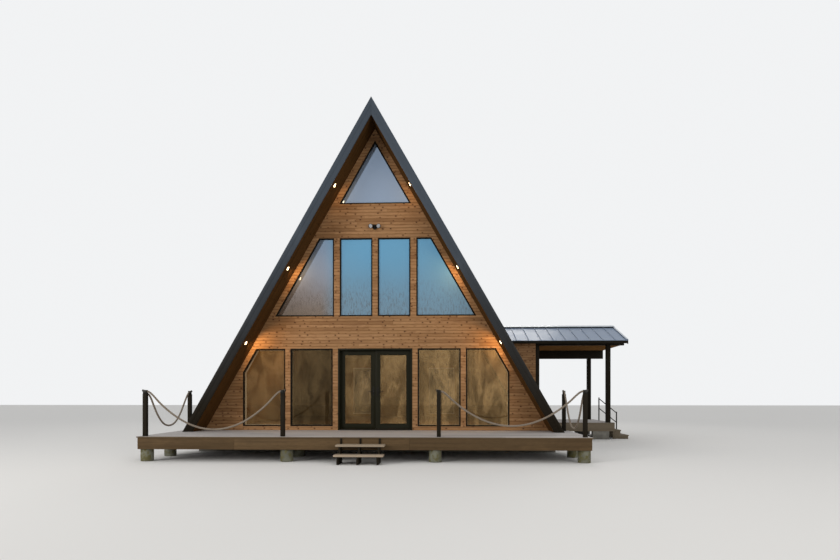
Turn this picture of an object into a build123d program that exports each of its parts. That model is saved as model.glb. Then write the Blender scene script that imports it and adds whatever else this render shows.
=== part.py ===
# A-frame cabin with a front deck, rope rails, french doors and a covered side entry.
# Millimetres, +Z up, +X to the right and +Y to the back as one faces the front gable.
# While a piece is modelled, Y is measured from the outer face of the front wall. Each
# piece is then moved back by that face's distance to the middle of the front foundation
# wall, so the origin is on the ground, under the middle of that wall.
import math
import os

from build123d import *

os.makedirs("parts", exist_ok=True)

# Levels above the ground
deck_top = 550.0
floor_build = 240.0
storey_high = 2800.0
loft_top = deck_top + storey_high
loft_build = 280.0

# Main roof: slopes of 21 in 12 that land on the floor's edge
pitch_rise = 21.0
pitch_run = 12.0
half_width = 4670.0
cabin_length = 11000.0
overhang = 850.0

# Roof layers, as depths under the top of the rake trim, square to the slope
trim_sheet = 8.0
seam_crest = 8.0
pan_top = 30.0
pan_under = 42.0
slab_under = 193.0
soffit_under = 209.0
barge_under = 214.0
seam_width = 14.0
seam_pitch = 400.0
barge_thick = 38.0
rake_face = 100.0
rake_width = 80.0
rake_sheet = 6.0
mitre = 0.3
eave_drip = 30.0
cap_reach = 190.0

# Walls and foundation
wall_thick = 165.0
foundation_thick = 200.0
foundation_inset = 20.0
split_high = 2560.0
wall_split = deck_top + split_high

# Windows of the front gable: distances from the centreline, heights above the deck, and
# how far their sloping edges lie inside the underside of the roof
lower_sill = 103.0
lower_head = 2103.0
rect_near = 1095.0
rect_far = 2196.0
five_near = 2330.0
five_cut = 348.0
five_margin = 156.0
upper_sill = 2936.0
upper_rect_near = 69.0
upper_rect_far = 911.0
trapeze_near = 1062.0
trapeze_top = 383.0
trapeze_margin = 176.0
gable_gap = 878.0
gable_margin = 192.0

# Window build
frame_face = 28.0
frame_proud = 12.0
frame_deep = 60.0
glass_front = 30.0
glass_thick = 24.0
liner_face = 42.0

# French doors
door_half = 960.0
jamb_face = 40.0
sill_high = 20.0
leaf_gap = 5.0
leaf_thick = 45.0
leaf_back = 5.0
stile_wide = 104.0
bottom_rail = 128.0
door_glass_thick = 24.0
stop_wide = 12.0
stop_deep = 50.0
stop_clear = 5.0
pin_radius = 7.0
pin_stand = 9.0
knuckle_high = 40.0
knuckle_gap = 0.3
hinge_plate = 34.0
hinge_plate_thick = 3.0
hinge_plate_gap = 2.5
hinge_block = 6.5
hinge_inset = 220.0

# Door levers
plate_wide = 44.0
plate_high = 240.0
plate_thick = 8.0
lever_height = 1000.0
lever_neck = 50.0
lever_neck_radius = 9.0
lever_long = 125.0
lever_thick = 18.0

# Lights: heights above the deck
light_heights = (2200.0, 4050.0, 6100.0)
light_out = 620.0
light_radius = 55.0
light_thick = 14.0
flood_over_head = 278.0
flood_plate_radius = 60.0
flood_plate_thick = 24.0
flood_stem_radius = 16.0
flood_reach = 66.0
flood_arm_radius = 9.0
flood_head_spread = 74.0
flood_head_radii = (38.0, 26.0)
flood_head_long = 96.0
flood_head_tilt = 65.0
sensor_half = 14.0
sensor_high = 30.0

# Deck
deck_beyond = 265.0
deck_half = half_width + deck_beyond
deck_depth = 2600.0
board_thick = 25.0
nosing = 20.0
skirt_thick = 35.0
skirt_high = 254.0
skirt_joints = (-2776.0, 1037.0)
joint_gap = 2.0
rim_thick = 76.0
joist_thick = 38.0
joist_count = 19
ledger_thick = 40.0
pier_radius = 138.0
pier_set = 205.0
pier_rows = (pier_set - deck_depth, -1250.0)
pier_outer = deck_half - 150.0
pier_columns = (-pier_outer, -1667.0, 1584.0, pier_outer)

# Rail posts and ropes
post_size = 89.0
post_high = 930.0
post_top = deck_top + post_high
post_side_set = 145.0
post_outer = deck_half - post_side_set
post_inner_left = 1736.0
post_inner_right = 1664.0
post_front_set = 130.0
post_front = post_front_set - deck_depth
post_back = -120.0
rope_radius = 22.5
rope_play = 0.4
bracket_cheek = 6.0
bracket_high = 84.0
cup_wall = 6.0
cup_deep = 42.0
cup_floor = 8.0
cup_high = 928.0
cap_disc = 12.0
cap_rim = 3.5
rope_past = 52.0
rope_low_left = 150.0
rope_low_right = 237.0
right_lift = 0.897
side_sag_right = 1.066

# Front steps
step_half = 520.0
tread_deep = 280.0
tread_thick = 40.0
tread_tops = (deck_top - 150.0, deck_top - 340.0)
tread_overlap = 25.0
stringer_thick = 40.0
stringer_places = (-435.0, -18.0, 399.0)

# Covered entry on the right-hand side
entry_front = 4800.0
entry_depth = 2900.0
entry_wall = 140.0
entry_beyond = 240.0
entry_outer = half_width + entry_beyond
entry_ceiling = 2400.0
entry_door_wide = 960.0
entry_door_high = 2070.0
entry_door_thick = 45.0
entry_door_back = 20.0
entry_jamb = 38.0
porch_long = 2490.0
porch_end = entry_outer + porch_long
porch_rise = 4.25
porch_run = 12.0
porch_ridge_high = 3355.0
porch_ridge_z = deck_top + porch_ridge_high
porch_half = 1780.0
porch_roof_past = 345.0
porch_roof_end = porch_end + porch_roof_past
porch_seam_pitch = 400.0
porch_sheet = 12.0
porch_seam_high = 26.0
porch_slab = 90.0
porch_fascia_high = 90.0
porch_fascia_thick = 25.0
porch_post = 140.0
porch_post_set = 200.0
porch_post_x = porch_end - porch_post_set
porch_post_inset = 90.0
beam_highs = (170.0, 450.0)
beam_wide = 89.0
ceiling_high = 2593.0
ceiling_thick = 20.0
porch_board = 25.0
porch_skirt_high = 285.0
block_longs = (390.0, 540.0)
block_wide = 190.0
block_set = 450.0
porch_step_wide = 1500.0
porch_step_run = 280.0
porch_step_start = 250.0
porch_tread_tops = (deck_top - 250.0, deck_top - 420.0)
rail_tube = 38.0
rail_high = 830.0
rail_drop = 380.0

pitch = math.atan2(pitch_rise, pitch_run)
slope = pitch_rise / pitch_run
apex_z = deck_top + half_width * slope
porch_slope = porch_rise / porch_run
porch_pitch = math.atan2(porch_rise, porch_run)
porch_mid_y = entry_front + entry_depth / 2
shift = Pos(0, -foundation_thick / 2, 0)


def half_span(z, depth):
    """Distance from the centreline to the roof surface at this depth under the rake's top."""
    return (apex_z - z) / slope - depth / math.sin(pitch)


def layer_apex(depth, x=0.0):
    """Height of the roof surface at this depth, at a distance x from the centreline."""
    return apex_z - depth / math.cos(pitch) - x * slope


upper_head = layer_apex(slab_under, trapeze_near + trapeze_top + trapeze_margin) - deck_top
gable_sill = upper_head + gable_gap
flood_height = upper_head + flood_over_head


def block(x0, x1, y0, y1, z0, z1):
    """Box between two corners."""
    centre = Pos((x0 + x1) / 2, (y0 + y1) / 2, (z0 + z1) / 2)
    return centre * Box(x1 - x0, y1 - y0, z1 - z0)


def plate_xz(points, y0, y1):
    """Plate with its outline in the XZ plane, from y0 to y1."""
    return Pos(0, y1, 0) * extrude(Plane.XZ * Polygon(*points, align=None), y1 - y0, dir=(0, -1, 0))


def plate_yz(points, x0, x1):
    """Plate with its outline in the YZ plane, from x0 to x1."""
    return Pos(x0, 0, 0) * extrude(Plane.YZ * Polygon(*points, align=None), x1 - x0, dir=(1, 0, 0))


def ring_xz(points, inset, y0, y1):
    """Frame that fills an outline from its edge to an inset, from y0 to y1."""
    outer = Polygon(*points, align=None)
    inner = offset(outer, amount=-inset, kind=Kind.INTERSECTION)
    return Pos(0, y1, 0) * extrude(Plane.XZ * (outer - inner), y1 - y0, dir=(0, -1, 0))


def pane_xz(points, inset, y0, y1):
    """Sheet that fills the inside of such a frame."""
    inner = offset(Polygon(*points, align=None), amount=-inset, kind=Kind.INTERSECTION)
    return Pos(0, y1, 0) * extrude(Plane.XZ * inner, y1 - y0, dir=(0, -1, 0))


def mirrored(points):
    """The same outline on the other side of the centreline."""
    return [(-x, z) for x, z in reversed(points)]


def save(name, solids):
    """Move the solids to the part's origin and write them as one node."""
    placed = [shift * solid for piece in solids for solid in piece.solids()]
    shape = placed[0] if len(placed) == 1 else Compound(children=placed)
    export_step(shape, f"parts/{name}.step")


def roof_layer(side, top, under, y0, y1, z_foot, x_ridge=0.0, z_head=None):
    """One side's slice of the main roof between two depths, cut level at its foot."""
    points = [(half_span(z_foot, top), z_foot), (half_span(z_foot, under), z_foot)]
    if z_head is None:
        points += [(x_ridge, layer_apex(under, x_ridge)), (x_ridge, layer_apex(top, x_ridge))]
    else:
        points += [(half_span(z_head, under), z_head), (half_span(z_head, top), z_head)]
    return plate_xz([(side * x, z) for x, z in points], y0, y1)


slab_front = -overhang + barge_thick
slab_back = cabin_length + overhang - barge_thick
entry_back = entry_front + entry_depth
entry_inner_front = entry_front + entry_wall
entry_inner_back = entry_back - entry_wall
entry_head = deck_top + entry_ceiling


def foundation():
    """Four concrete walls under the edge of the floor."""
    half = half_span(deck_top, pan_under) - foundation_inset
    top = deck_top - floor_build
    inner = half - foundation_thick
    side_front = foundation_thick + mitre
    side_back = cabin_length - foundation_thick - mitre
    return [
        block(-half, half, 0, foundation_thick, 0, top),
        block(-half, half, cabin_length - foundation_thick, cabin_length, 0, top),
        block(-half, -inner, side_front, side_back, 0, top),
        block(inner, half, side_front, side_back, 0, top),
    ]


def ground_floor():
    """Joisted floor platform that carries the walls and the feet of the roof."""
    half = half_span(deck_top, pan_under)
    return [block(-half, half, 0, cabin_length, deck_top - floor_build, deck_top)]


def loft_floor():
    """Upper floor that spans between the two roof slopes."""
    low = loft_top - loft_build
    points = [
        (-half_span(low, slab_under), low),
        (half_span(low, slab_under), low),
        (half_span(loft_top, slab_under), loft_top),
        (-half_span(loft_top, slab_under), loft_top),
    ]
    return [plate_xz(points, wall_thick, cabin_length - wall_thick)]


def roof_slab(side, y0, y1, z_foot=deck_top):
    """Rafters, sheathing and lining of one slope as one thick panel."""
    return [roof_layer(side, pan_under, slab_under, y0, y1, z_foot)]


def metal_sheet(side):
    """Pans with standing seams, lower beyond the deck, where they drip past the floor."""
    deck_end = leaf_gap
    sheet = roof_layer(side, pan_top, pan_under, slab_front, deck_end, deck_top)
    sheet += roof_layer(side, pan_top, pan_under, deck_end, slab_back, deck_top - eave_drip)
    first = slab_front + rake_width + seam_pitch / 2
    count = int((slab_back - slab_front - rake_width * 2 - seam_pitch / 2) / seam_pitch) + 1
    for number in range(count):
        y = first + number * seam_pitch
        foot = deck_top if y < seam_width else deck_top - eave_drip
        y0, y1 = y - seam_width / 2, y + seam_width / 2
        sheet += roof_layer(side, seam_crest, pan_top, y0, y1, foot)
    return sheet


def entry_envelope():
    """Outside of the entry's walls and roof, which the main roof's metal stops against."""
    reach = porch_half + seam_width
    drop = porch_ridge_z - reach * porch_slope
    roof_low = drop - porch_seam_high - porch_sheet - porch_slab - joint_gap
    points = [
        (porch_mid_y - reach, roof_low),
        (porch_mid_y - reach, drop),
        (porch_mid_y, porch_ridge_z + porch_seam_high),
        (porch_mid_y + reach, drop),
        (porch_mid_y + reach, roof_low),
    ]
    roof = plate_yz(points, 0, porch_roof_end)
    eave = porch_ridge_z - porch_half * porch_slope
    return roof + block(0, porch_roof_end, entry_front, entry_back, 0, eave)


def metal_right():
    """Right-hand metal in three parts: before, behind and over the entry's roof."""
    sheet = metal_sheet(1) - entry_envelope()
    reach = porch_half + seam_width
    for y in (porch_mid_y - reach, porch_mid_y + reach):
        sheet -= block(0, half_width + half_width, y - mitre / 2, y + mitre / 2, 0, apex_z)
    return [sheet]


def ridge_cap():
    """Folded strip over the ridge, between the two rakes."""
    cut = cap_reach * math.cos(pitch)
    points = [
        (-cut, layer_apex(0, cut)),
        (0, layer_apex(0)),
        (cut, layer_apex(0, cut)),
        (cut, layer_apex(seam_crest, cut)),
        (0, layer_apex(seam_crest)),
        (-cut, layer_apex(seam_crest, cut)),
    ]
    return [plate_xz(points, slab_front + rake_width, slab_back - rake_width)]


def soffit_boards():
    """Wood lining under both overhangs."""
    solids = []
    for side in (-1, 1):
        solids.append(roof_layer(side, slab_under, soffit_under, slab_front, 0, deck_top, mitre))
        solids.append(
            roof_layer(side, slab_under, soffit_under, cabin_length, slab_back, deck_top, mitre)
        )
    return solids


def barge_boards():
    """Boards that close the ends of the roof, front and back."""
    solids = []
    for side in (-1, 1):
        for y0 in (-overhang, slab_back):
            solids.append(
                roof_layer(side, pan_top, barge_under, y0, y0 + barge_thick, deck_top, mitre)
            )
    return solids


def rake_trims():
    """Folded metal over the top of each barge board: face, top and a leg to the pan."""
    solids = []
    for side in (-1, 1):
        for front, out in ((-overhang, -1), (cabin_length + overhang, 1)):
            span = sorted((front, front + out * rake_sheet))
            trim = roof_layer(side, 0, rake_face, *span, deck_top, mitre)
            inner = front - out * rake_width
            span = sorted((front, inner))
            trim += roof_layer(side, 0, trim_sheet, *span, deck_top, mitre)
            span = sorted((inner, inner + out * rake_sheet))
            trim += roof_layer(side, 0, pan_top, *span, deck_top, mitre)
            solids.append(trim)
    return solids


def lower_rect():
    """Outline of the plain window beside the doors."""
    low = deck_top + lower_sill
    high = deck_top + lower_head
    return [(rect_near, low), (rect_far, low), (rect_far, high), (rect_near, high)]


def lower_five():
    """Outline of the five-sided window under the slope."""
    low = deck_top + lower_sill
    high = deck_top + lower_head
    top_far = half_span(high, slab_under) - five_margin
    far = top_far + five_cut
    return [
        (five_near, low),
        (far, low),
        (far, high - five_cut * slope),
        (top_far, high),
        (five_near, high),
    ]


def upper_rect():
    """Outline of the plain window of the loft."""
    low = deck_top + upper_sill
    high = deck_top + upper_head
    return [
        (upper_rect_near, low),
        (upper_rect_far, low),
        (upper_rect_far, high),
        (upper_rect_near, high),
    ]


def upper_trapeze():
    """Outline of the sloping window of the loft."""
    low = deck_top + upper_sill
    high = deck_top + upper_head
    far = half_span(low, slab_under) - trapeze_margin
    top_far = trapeze_near + trapeze_top
    return [(trapeze_near, low), (far, low), (top_far, high), (trapeze_near, high)]


def gable_triangle():
    """Outline of the window in the peak."""
    low = deck_top + gable_sill
    half = half_span(low, slab_under) - gable_margin
    return [(-half, low), (half, low), (0, low + half * slope)]


def both_sides(outlines):
    """Each outline and its mirror image."""
    return [points for outline in outlines for points in (outline, mirrored(outline))]


lower_outlines = both_sides([lower_rect(), lower_five()])
upper_outlines = both_sides([upper_rect(), upper_trapeze()]) + [gable_triangle()]
front_outlines = lower_outlines + upper_outlines
back_outlines = both_sides([lower_rect(), upper_rect()])


def window_solids(inset_maker):
    """The same window piece in every window, front and back."""
    solids = [inset_maker(points, 0, 1) for points in front_outlines]
    solids += [inset_maker(points, cabin_length, -1) for points in back_outlines]
    return solids


def through_wall(face, inward, start, end):
    """Two depths behind a wall's outer face, as sorted Y values."""
    return sorted((face + inward * start, face + inward * end))


def window_frame(points, face, inward):
    """Dark frame that stands a little proud of the boards."""
    return ring_xz(points, frame_face, *through_wall(face, inward, -frame_proud, frame_deep))


def window_glass(points, face, inward):
    """Sealed glass unit inside the frame."""
    span = through_wall(face, inward, glass_front, glass_front + glass_thick)
    return pane_xz(points, frame_face, *span)


def window_liner(points, face, inward):
    """White jamb boards from the frame to the room."""
    return ring_xz(points, liner_face, *through_wall(face, inward, frame_deep, wall_thick))


def cut_outlines(wall, outlines, y0, y1):
    """Cut window holes through a wall."""
    for points in outlines:
        wall -= plate_xz(points, y0 - 1, y1 + 1)
    return wall


def front_wall_side(side):
    """Lower wall beside the doors, with two windows."""
    points = [
        (door_half, deck_top),
        (half_span(deck_top, slab_under), deck_top),
        (half_span(wall_split, slab_under), wall_split),
        (door_half, wall_split),
    ]
    wall = plate_xz([(side * x, z) for x, z in points], 0, wall_thick)
    outlines = [points for points in lower_outlines if points[0][0] * side > 0]
    return [cut_outlines(wall, outlines, 0, wall_thick)]


def front_wall_upper():
    """Gable wall over the doors and up to the peak."""
    head = deck_top + lower_head
    points = [
        (-door_half, head),
        (door_half, head),
        (door_half, wall_split),
        (half_span(wall_split, slab_under), wall_split),
        (0, layer_apex(slab_under)),
        (-half_span(wall_split, slab_under), wall_split),
        (-door_half, wall_split),
    ]
    return [cut_outlines(plate_xz(points, 0, wall_thick), upper_outlines, 0, wall_thick)]


def back_wall():
    """Rear gable wall."""
    y0 = cabin_length - wall_thick
    half = half_span(deck_top, slab_under)
    points = [(-half, deck_top), (half, deck_top), (0, layer_apex(slab_under))]
    wall = plate_xz(points, y0, cabin_length)
    return [cut_outlines(wall, back_outlines, y0, cabin_length)]


leaf_outer_x = door_half - jamb_face - leaf_gap
leaf_low = deck_top + sill_high + leaf_gap
leaf_high = deck_top + lower_head - jamb_face - leaf_gap
leaf_y1 = wall_thick - leaf_back
leaf_y0 = leaf_y1 - leaf_thick
pin_x = door_half - jamb_face - leaf_gap / 2
pin_y = wall_thick + pin_stand
hinge_heights = (
    leaf_low + hinge_inset,
    (leaf_low + leaf_high) / 2,
    leaf_high - hinge_inset,
)


def door_frame():
    """Jambs, head and threshold, and the stops that the leaves close against."""
    head = deck_top + lower_head
    inner_x = door_half - jamb_face
    sill = deck_top + sill_high
    stop_y1 = leaf_y0 - stop_clear
    stop_y0 = stop_y1 - stop_deep
    stop_top = head - jamb_face - mitre
    solids = [
        block(-inner_x + mitre, inner_x - mitre, -frame_proud, wall_thick, deck_top, sill),
        block(-inner_x + mitre, inner_x - mitre, -frame_proud, wall_thick, head - jamb_face, head),
        block(-inner_x + mitre, inner_x - mitre, stop_y0, stop_y1, stop_top - stop_wide, stop_top),
    ]
    for side in (-1, 1):
        span = sorted((side * inner_x, side * door_half))
        solids.append(block(*span, -frame_proud, wall_thick, deck_top, head))
        span = sorted((side * (inner_x - mitre), side * (inner_x - stop_wide)))
        top = stop_top - stop_wide - mitre
        solids.append(block(*span, stop_y0, stop_y1, sill + mitre, top))
    return solids


def knuckle(side, z_mid):
    """One barrel section on the pin's axis."""
    return Pos(side * pin_x, pin_y, z_mid) * Cylinder(pin_radius, knuckle_high)


def door_hinges():
    """Fixed halves of the butt hinges, on the room side of the jambs."""
    solids = []
    for side in (-1, 1):
        for z in hinge_heights:
            for step in (-1, 1):
                z_mid = z + step * (knuckle_high + knuckle_gap)
                low, high = z_mid - knuckle_high / 2, z_mid + knuckle_high / 2
                span = sorted((side * (pin_x + hinge_plate_gap), side * (pin_x + hinge_plate)))
                plate = block(*span, wall_thick, wall_thick + hinge_plate_thick, low, high)
                span = sorted((side * pin_x, side * (pin_x + hinge_block)))
                web = block(*span, wall_thick, wall_thick + pin_stand, low, high)
                solids.append(plate + web + knuckle(side, z_mid))
    return solids


def door_leaf(side):
    """Glazed leaf with its stiles, rails and moving hinge knuckles."""
    x0, x1 = sorted((side * leaf_gap / 2, side * leaf_outer_x))
    points = [(x0, leaf_low), (x1, leaf_low), (x1, leaf_high), (x0, leaf_high)]
    leaf = plate_xz(points, leaf_y0, leaf_y1)
    opening = leaf_opening(side)
    leaf -= block(*opening[0], leaf_y0 - 1, leaf_y1 + 1, *opening[1])
    for z in hinge_heights:
        low, high = z - knuckle_high / 2, z + knuckle_high / 2
        span = sorted((side * pin_x, side * (pin_x - pin_radius - hinge_block)))
        leaf += block(*span, leaf_y1, pin_y - pin_radius / 2, low, high) + knuckle(side, z)
    return [leaf]


def leaf_opening(side):
    """X span and Z span of a leaf's glass."""
    near = leaf_gap / 2 + stile_wide
    far = leaf_outer_x - stile_wide
    return sorted((side * near, side * far)), (leaf_low + bottom_rail, leaf_high - stile_wide)


def door_glass(side):
    """Glass of one leaf."""
    spans = leaf_opening(side)
    middle = (leaf_y0 + leaf_y1) / 2
    half = door_glass_thick / 2
    return [block(*spans[0], middle - half, middle + half, *spans[1])]


def door_lever(side):
    """Lever on a long plate, on both faces of a leaf's meeting stile."""
    x = side * (leaf_gap / 2 + stile_wide / 2)
    z = deck_top + lever_height
    solids = []
    for face, out in ((leaf_y0, -1), (leaf_y1, 1)):
        span = sorted((face, face + out * plate_thick))
        half = plate_wide / 2
        lever = block(x - half, x + half, *span, z - plate_high / 2, z + plate_high / 2)
        neck_y = face + out * (plate_thick + lever_neck / 2)
        lever += Pos(x, neck_y, z) * Rot(90, 0, 0) * Cylinder(lever_neck_radius, lever_neck)
        tip = face + out * (plate_thick + lever_neck)
        span_y = sorted((tip, tip - out * lever_thick))
        span_x = sorted((x - side * lever_neck_radius, x + side * lever_long))
        lever += block(*span_x, *span_y, z - lever_neck_radius, z + lever_neck_radius)
        solids.append(lever)
    return solids


def soffit_lights():
    """Round fittings under the front overhang, flat on the wood lining."""
    solids = []
    for side in (-1, 1):
        for high in light_heights:
            z = deck_top + high
            x = half_span(z, soffit_under + light_thick / 2)
            turn = Rot(0, side * math.degrees(pitch), 0)
            solids.append(Pos(side * x, -light_out, z) * turn * Cylinder(light_radius, light_thick))
    return solids


def wall_floodlight():
    """Two lamp heads and a sensor on a round back plate."""
    z = deck_top + flood_height
    plate = Pos(0, -flood_plate_thick / 2, z) * Rot(90, 0, 0)
    lamp = plate * Cylinder(flood_plate_radius, flood_plate_thick)
    lamp += Pos(0, -flood_reach / 2, z) * Rot(90, 0, 0) * Cylinder(flood_stem_radius, flood_reach)
    low = z - flood_stem_radius - sensor_high
    arm_y = flood_arm_radius - flood_reach
    lamp += block(-sensor_half, sensor_half, -flood_reach, -flood_plate_thick / 2, low, z)
    for side in (-1, 1):
        arm = Pos(side * flood_head_spread / 2, arm_y, z) * Rot(0, 90, 0)
        lamp += arm * Cylinder(flood_arm_radius, flood_head_spread)
        head = Pos(side * flood_head_spread, -flood_reach, z) * Rot(flood_head_tilt, 0, 0)
        lamp += head * Cone(*flood_head_radii, flood_head_long)
    return [lamp]


def deck_boards():
    """Walking surface with its nosing past the skirt."""
    return [block(-deck_half, deck_half, -deck_depth, 0, deck_top - board_thick, deck_top)]


skirt_top = deck_top - board_thick
skirt_out_x = deck_half - nosing
skirt_out_y = -deck_depth + nosing


def deck_skirt():
    """Face boards along the front and both ends."""
    low = skirt_top - skirt_high
    gap = joint_gap / 2
    back = skirt_out_y + skirt_thick
    ends = [-skirt_out_x] + list(skirt_joints) + [skirt_out_x]
    solids = []
    for start, end in zip(ends, ends[1:]):
        solids.append(block(start + gap, end - gap, skirt_out_y, back, low, skirt_top))
    for side in (-1, 1):
        span = sorted((side * skirt_out_x, side * (skirt_out_x - skirt_thick)))
        solids.append(block(*span, skirt_out_y + skirt_thick + joint_gap, 0, low, skirt_top))
    return solids


def deck_framing():
    """Double rim, ledger, and joists between them."""
    x = skirt_out_x - skirt_thick
    front = skirt_out_y + skirt_thick
    low = skirt_top - skirt_high
    solids = [
        block(-x, x, front, front + rim_thick, low, skirt_top),
        block(-x, x, -ledger_thick, 0, low, skirt_top),
    ]
    pitch_x = (2 * x - joist_thick) / (joist_count - 1)
    for number in range(joist_count):
        x0 = -x + number * pitch_x
        y0, y1 = front + rim_thick + mitre, -ledger_thick - mitre
        solids.append(block(x0, x0 + joist_thick, y0, y1, low, skirt_top))
    return solids


def deck_piers():
    """Round concrete piers under the deck."""
    high = skirt_top - skirt_high
    return [
        Pos(x, y, high / 2) * Cylinder(pier_radius, high) for y in pier_rows for x in pier_columns
    ]


front_posts = (-post_outer, -post_inner_left, post_inner_right, post_outer)


def deck_posts():
    """Square posts that hold the ropes."""
    half = post_size / 2
    places = [(x, post_front) for x in front_posts]
    places += [(-post_outer, post_back), (post_outer, post_back)]
    return [block(x - half, x + half, y - half, y + half, deck_top, post_top) for x, y in places]


def bracket(x, y, along_x, rope_line):
    """Saddle on top of a post, hollowed by the rope and open above it."""
    half = post_size / 2
    width = rope_radius + rope_play + bracket_cheek
    dx, dy = (half, width) if along_x else (width, half)
    saddle = block(x - dx, x + dx, y - dy, y + dy, post_top, post_top + bracket_high)
    channel = tube(rope_line, rope_radius + rope_play)
    return saddle - channel - Pos(0, 0, rope_radius) * channel


def rope_brackets():
    """Saddles on the posts and cups on the corner posts, which hold the ropes' ends."""
    solids = []
    for side, inner in ((-1, post_inner_left), (1, post_inner_right)):
        solids.append(bracket(side * post_outer, post_front, True, front_points(side)))
        solids.append(bracket(side * inner, post_front, True, front_points(side)))
        solids.append(bracket(side * post_outer, post_back, False, side_points(side)))
        start = post_front + post_size / 2
        outer = Cylinder(rope_radius + rope_play + cup_wall, cup_deep)
        bore = Pos(0, 0, cup_floor) * Cylinder(rope_radius + rope_play, cup_deep)
        place = Pos(side * post_outer, start + cup_deep / 2, deck_top + cup_high)
        solids.append(place * Rot(-90, 0, 0) * (outer - bore))
    return solids


# Routes of the ropes' middle lines: the front ones as distances from the bay's middle,
# of a bay as long as front_route_half each way, and heights over the lowest point, the
# side ones as Y and heights above the deck
front_route_half = 1635.0
front_route = [
    (-1635, 853), (-1510, 840), (-1400, 745), (-1240, 569), (-960, 334), (-610, 124),
    (-210, 0), (210, 0), (610, 124), (960, 334), (1240, 569), (1400, 745), (1510, 840),
    (1635, 853),
]
side_route = [
    (-2417, 928), (-2325, 928), (-2215, 835), (-2080, 658), (-1880, 420), (-1600, 220),
    (-1290, 165), (-980, 225), (-690, 435), (-440, 725), (-285, 895), (-155, 990), (-30, 1003),
]


def corner_radii(points):
    """Arc at each corner: 0.45 of the shorter run over the tangent of half the turn."""
    radii = []
    for before, corner, after in zip(points, points[1:], points[2:]):
        first = Vector(*corner) - Vector(*before)
        second = Vector(*after) - Vector(*corner)
        half_turn = math.radians(first.get_angle(second)) / 2
        radii.append(0.45 * min(first.length, second.length) / math.tan(half_turn))
    return radii


def tube(points, radius):
    """Tube along straight runs joined by tangent arcs."""
    path = FilletPolyline(*points, radius=corner_radii(points))
    return sweep(Plane(origin=path @ 0, z_dir=path % 0) * Circle(radius), path=path)


def rope(name, points):
    """Rope along its route, with its length, bends and volume printed."""
    path = FilletPolyline(*points, radius=corner_radii(points))
    solid = tube(points, rope_radius)
    expected = math.pi * rope_radius**2 * path.length
    print(name, "length", round(path.length, 1), "radii", [round(r) for r in corner_radii(points)])
    print(name, "volume share", round(solid.volume / expected, 4))
    return solid


def front_points(side):
    """Route of a front rope in the part's modelling axes."""
    inner = post_inner_left if side < 0 else post_inner_right
    middle = side * (post_outer + inner) / 2
    stretch = ((post_outer - inner) / 2 + rope_past) / front_route_half
    low, lift = (rope_low_left, 1.0) if side < 0 else (rope_low_right, right_lift)
    return [(middle + u * stretch, post_front, deck_top + low + lift * v) for u, v in front_route]


def side_points(side):
    """Route of a side rope."""
    sag = 1.0 if side < 0 else side_sag_right
    return [(side * post_outer, y, deck_top + cup_high + (z - cup_high) * sag) for y, z in side_route]


def rope_end_caps():
    """Discs that close the ropes' free ends."""
    solids = []
    for points, ends in (
        (front_points(-1), (0, -1)),
        (front_points(1), (0, -1)),
        (side_points(-1), (-1,)),
        (side_points(1), (-1,)),
    ):
        for end in ends:
            tip = Vector(*points[end])
            inner = Vector(*points[1 if end == 0 else -2])
            out = (tip - inner).normalized()
            disc = Cylinder(rope_radius + cap_rim, cap_disc)
            solids.append(Plane(origin=tip + out * cap_disc / 2, z_dir=out) * disc)
    return solids


def front_steps():
    """Two treads hung from the deck's front edge."""
    solids = []
    y1 = -deck_depth + nosing
    for number, top in enumerate(tread_tops):
        y0 = y1 - tread_deep
        solids.append(block(-step_half, step_half, y0, y1, top - tread_thick, top))
        y1 = y0 + tread_overlap
    return solids


def step_stringers():
    """Cut side members under the treads."""
    back = skirt_out_y
    low_under = tread_tops[1] - tread_thick
    high_under = tread_tops[0] - tread_thick
    split = back - tread_deep + tread_overlap
    front = split - tread_deep + tread_overlap + nosing
    points = [
        (back, high_under), (back, deck_top - board_thick - skirt_high), (back, 0), (front, 0),
        (front, low_under), (split, low_under), (split, high_under),
    ]
    half = stringer_thick / 2
    return [plate_yz(points, x - half, x + half) for x in stringer_places]


def main_roof_clip(depth):
    """Everything outside the right-hand slope at this depth."""
    far = porch_roof_end + 100
    points = [
        (half_span(0, depth), 0),
        (far, 0),
        (far, apex_z),
        (half_span(apex_z, depth), apex_z),
    ]
    return plate_xz(points, 0, cabin_length)


def roof_under_at(y):
    """Underside of the porch roof panel at this Y."""
    top = porch_seam_high + porch_sheet
    return porch_ridge_z - top - porch_slab - abs(y - porch_mid_y) * porch_slope


def cheek_wall(y0):
    """Cheek wall of the entry, from the main roof out to the corner."""
    y1 = y0 + entry_wall
    points = [(y0, deck_top), (y1, deck_top), (y1, roof_under_at(y1)), (y0, roof_under_at(y0))]
    wall = plate_yz(points, 0, entry_outer - entry_wall)
    return [wall & main_roof_clip(pan_under)]


def entry_wall_outer():
    """Outer wall of the entry, with its doorway and the gable over it."""
    x0 = entry_outer - entry_wall
    points = [
        (entry_front, deck_top),
        (entry_back, deck_top),
        (entry_back, roof_under_at(entry_back)),
        (porch_mid_y, roof_under_at(porch_mid_y)),
        (entry_front, roof_under_at(entry_front)),
    ]
    wall = plate_yz(points, x0, entry_outer)
    half = entry_door_wide / 2
    y0, y1 = porch_mid_y - half, porch_mid_y + half
    wall -= block(x0 - 1, entry_outer + 1, y0, y1, deck_top, deck_top + entry_door_high)
    return [wall]


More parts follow.
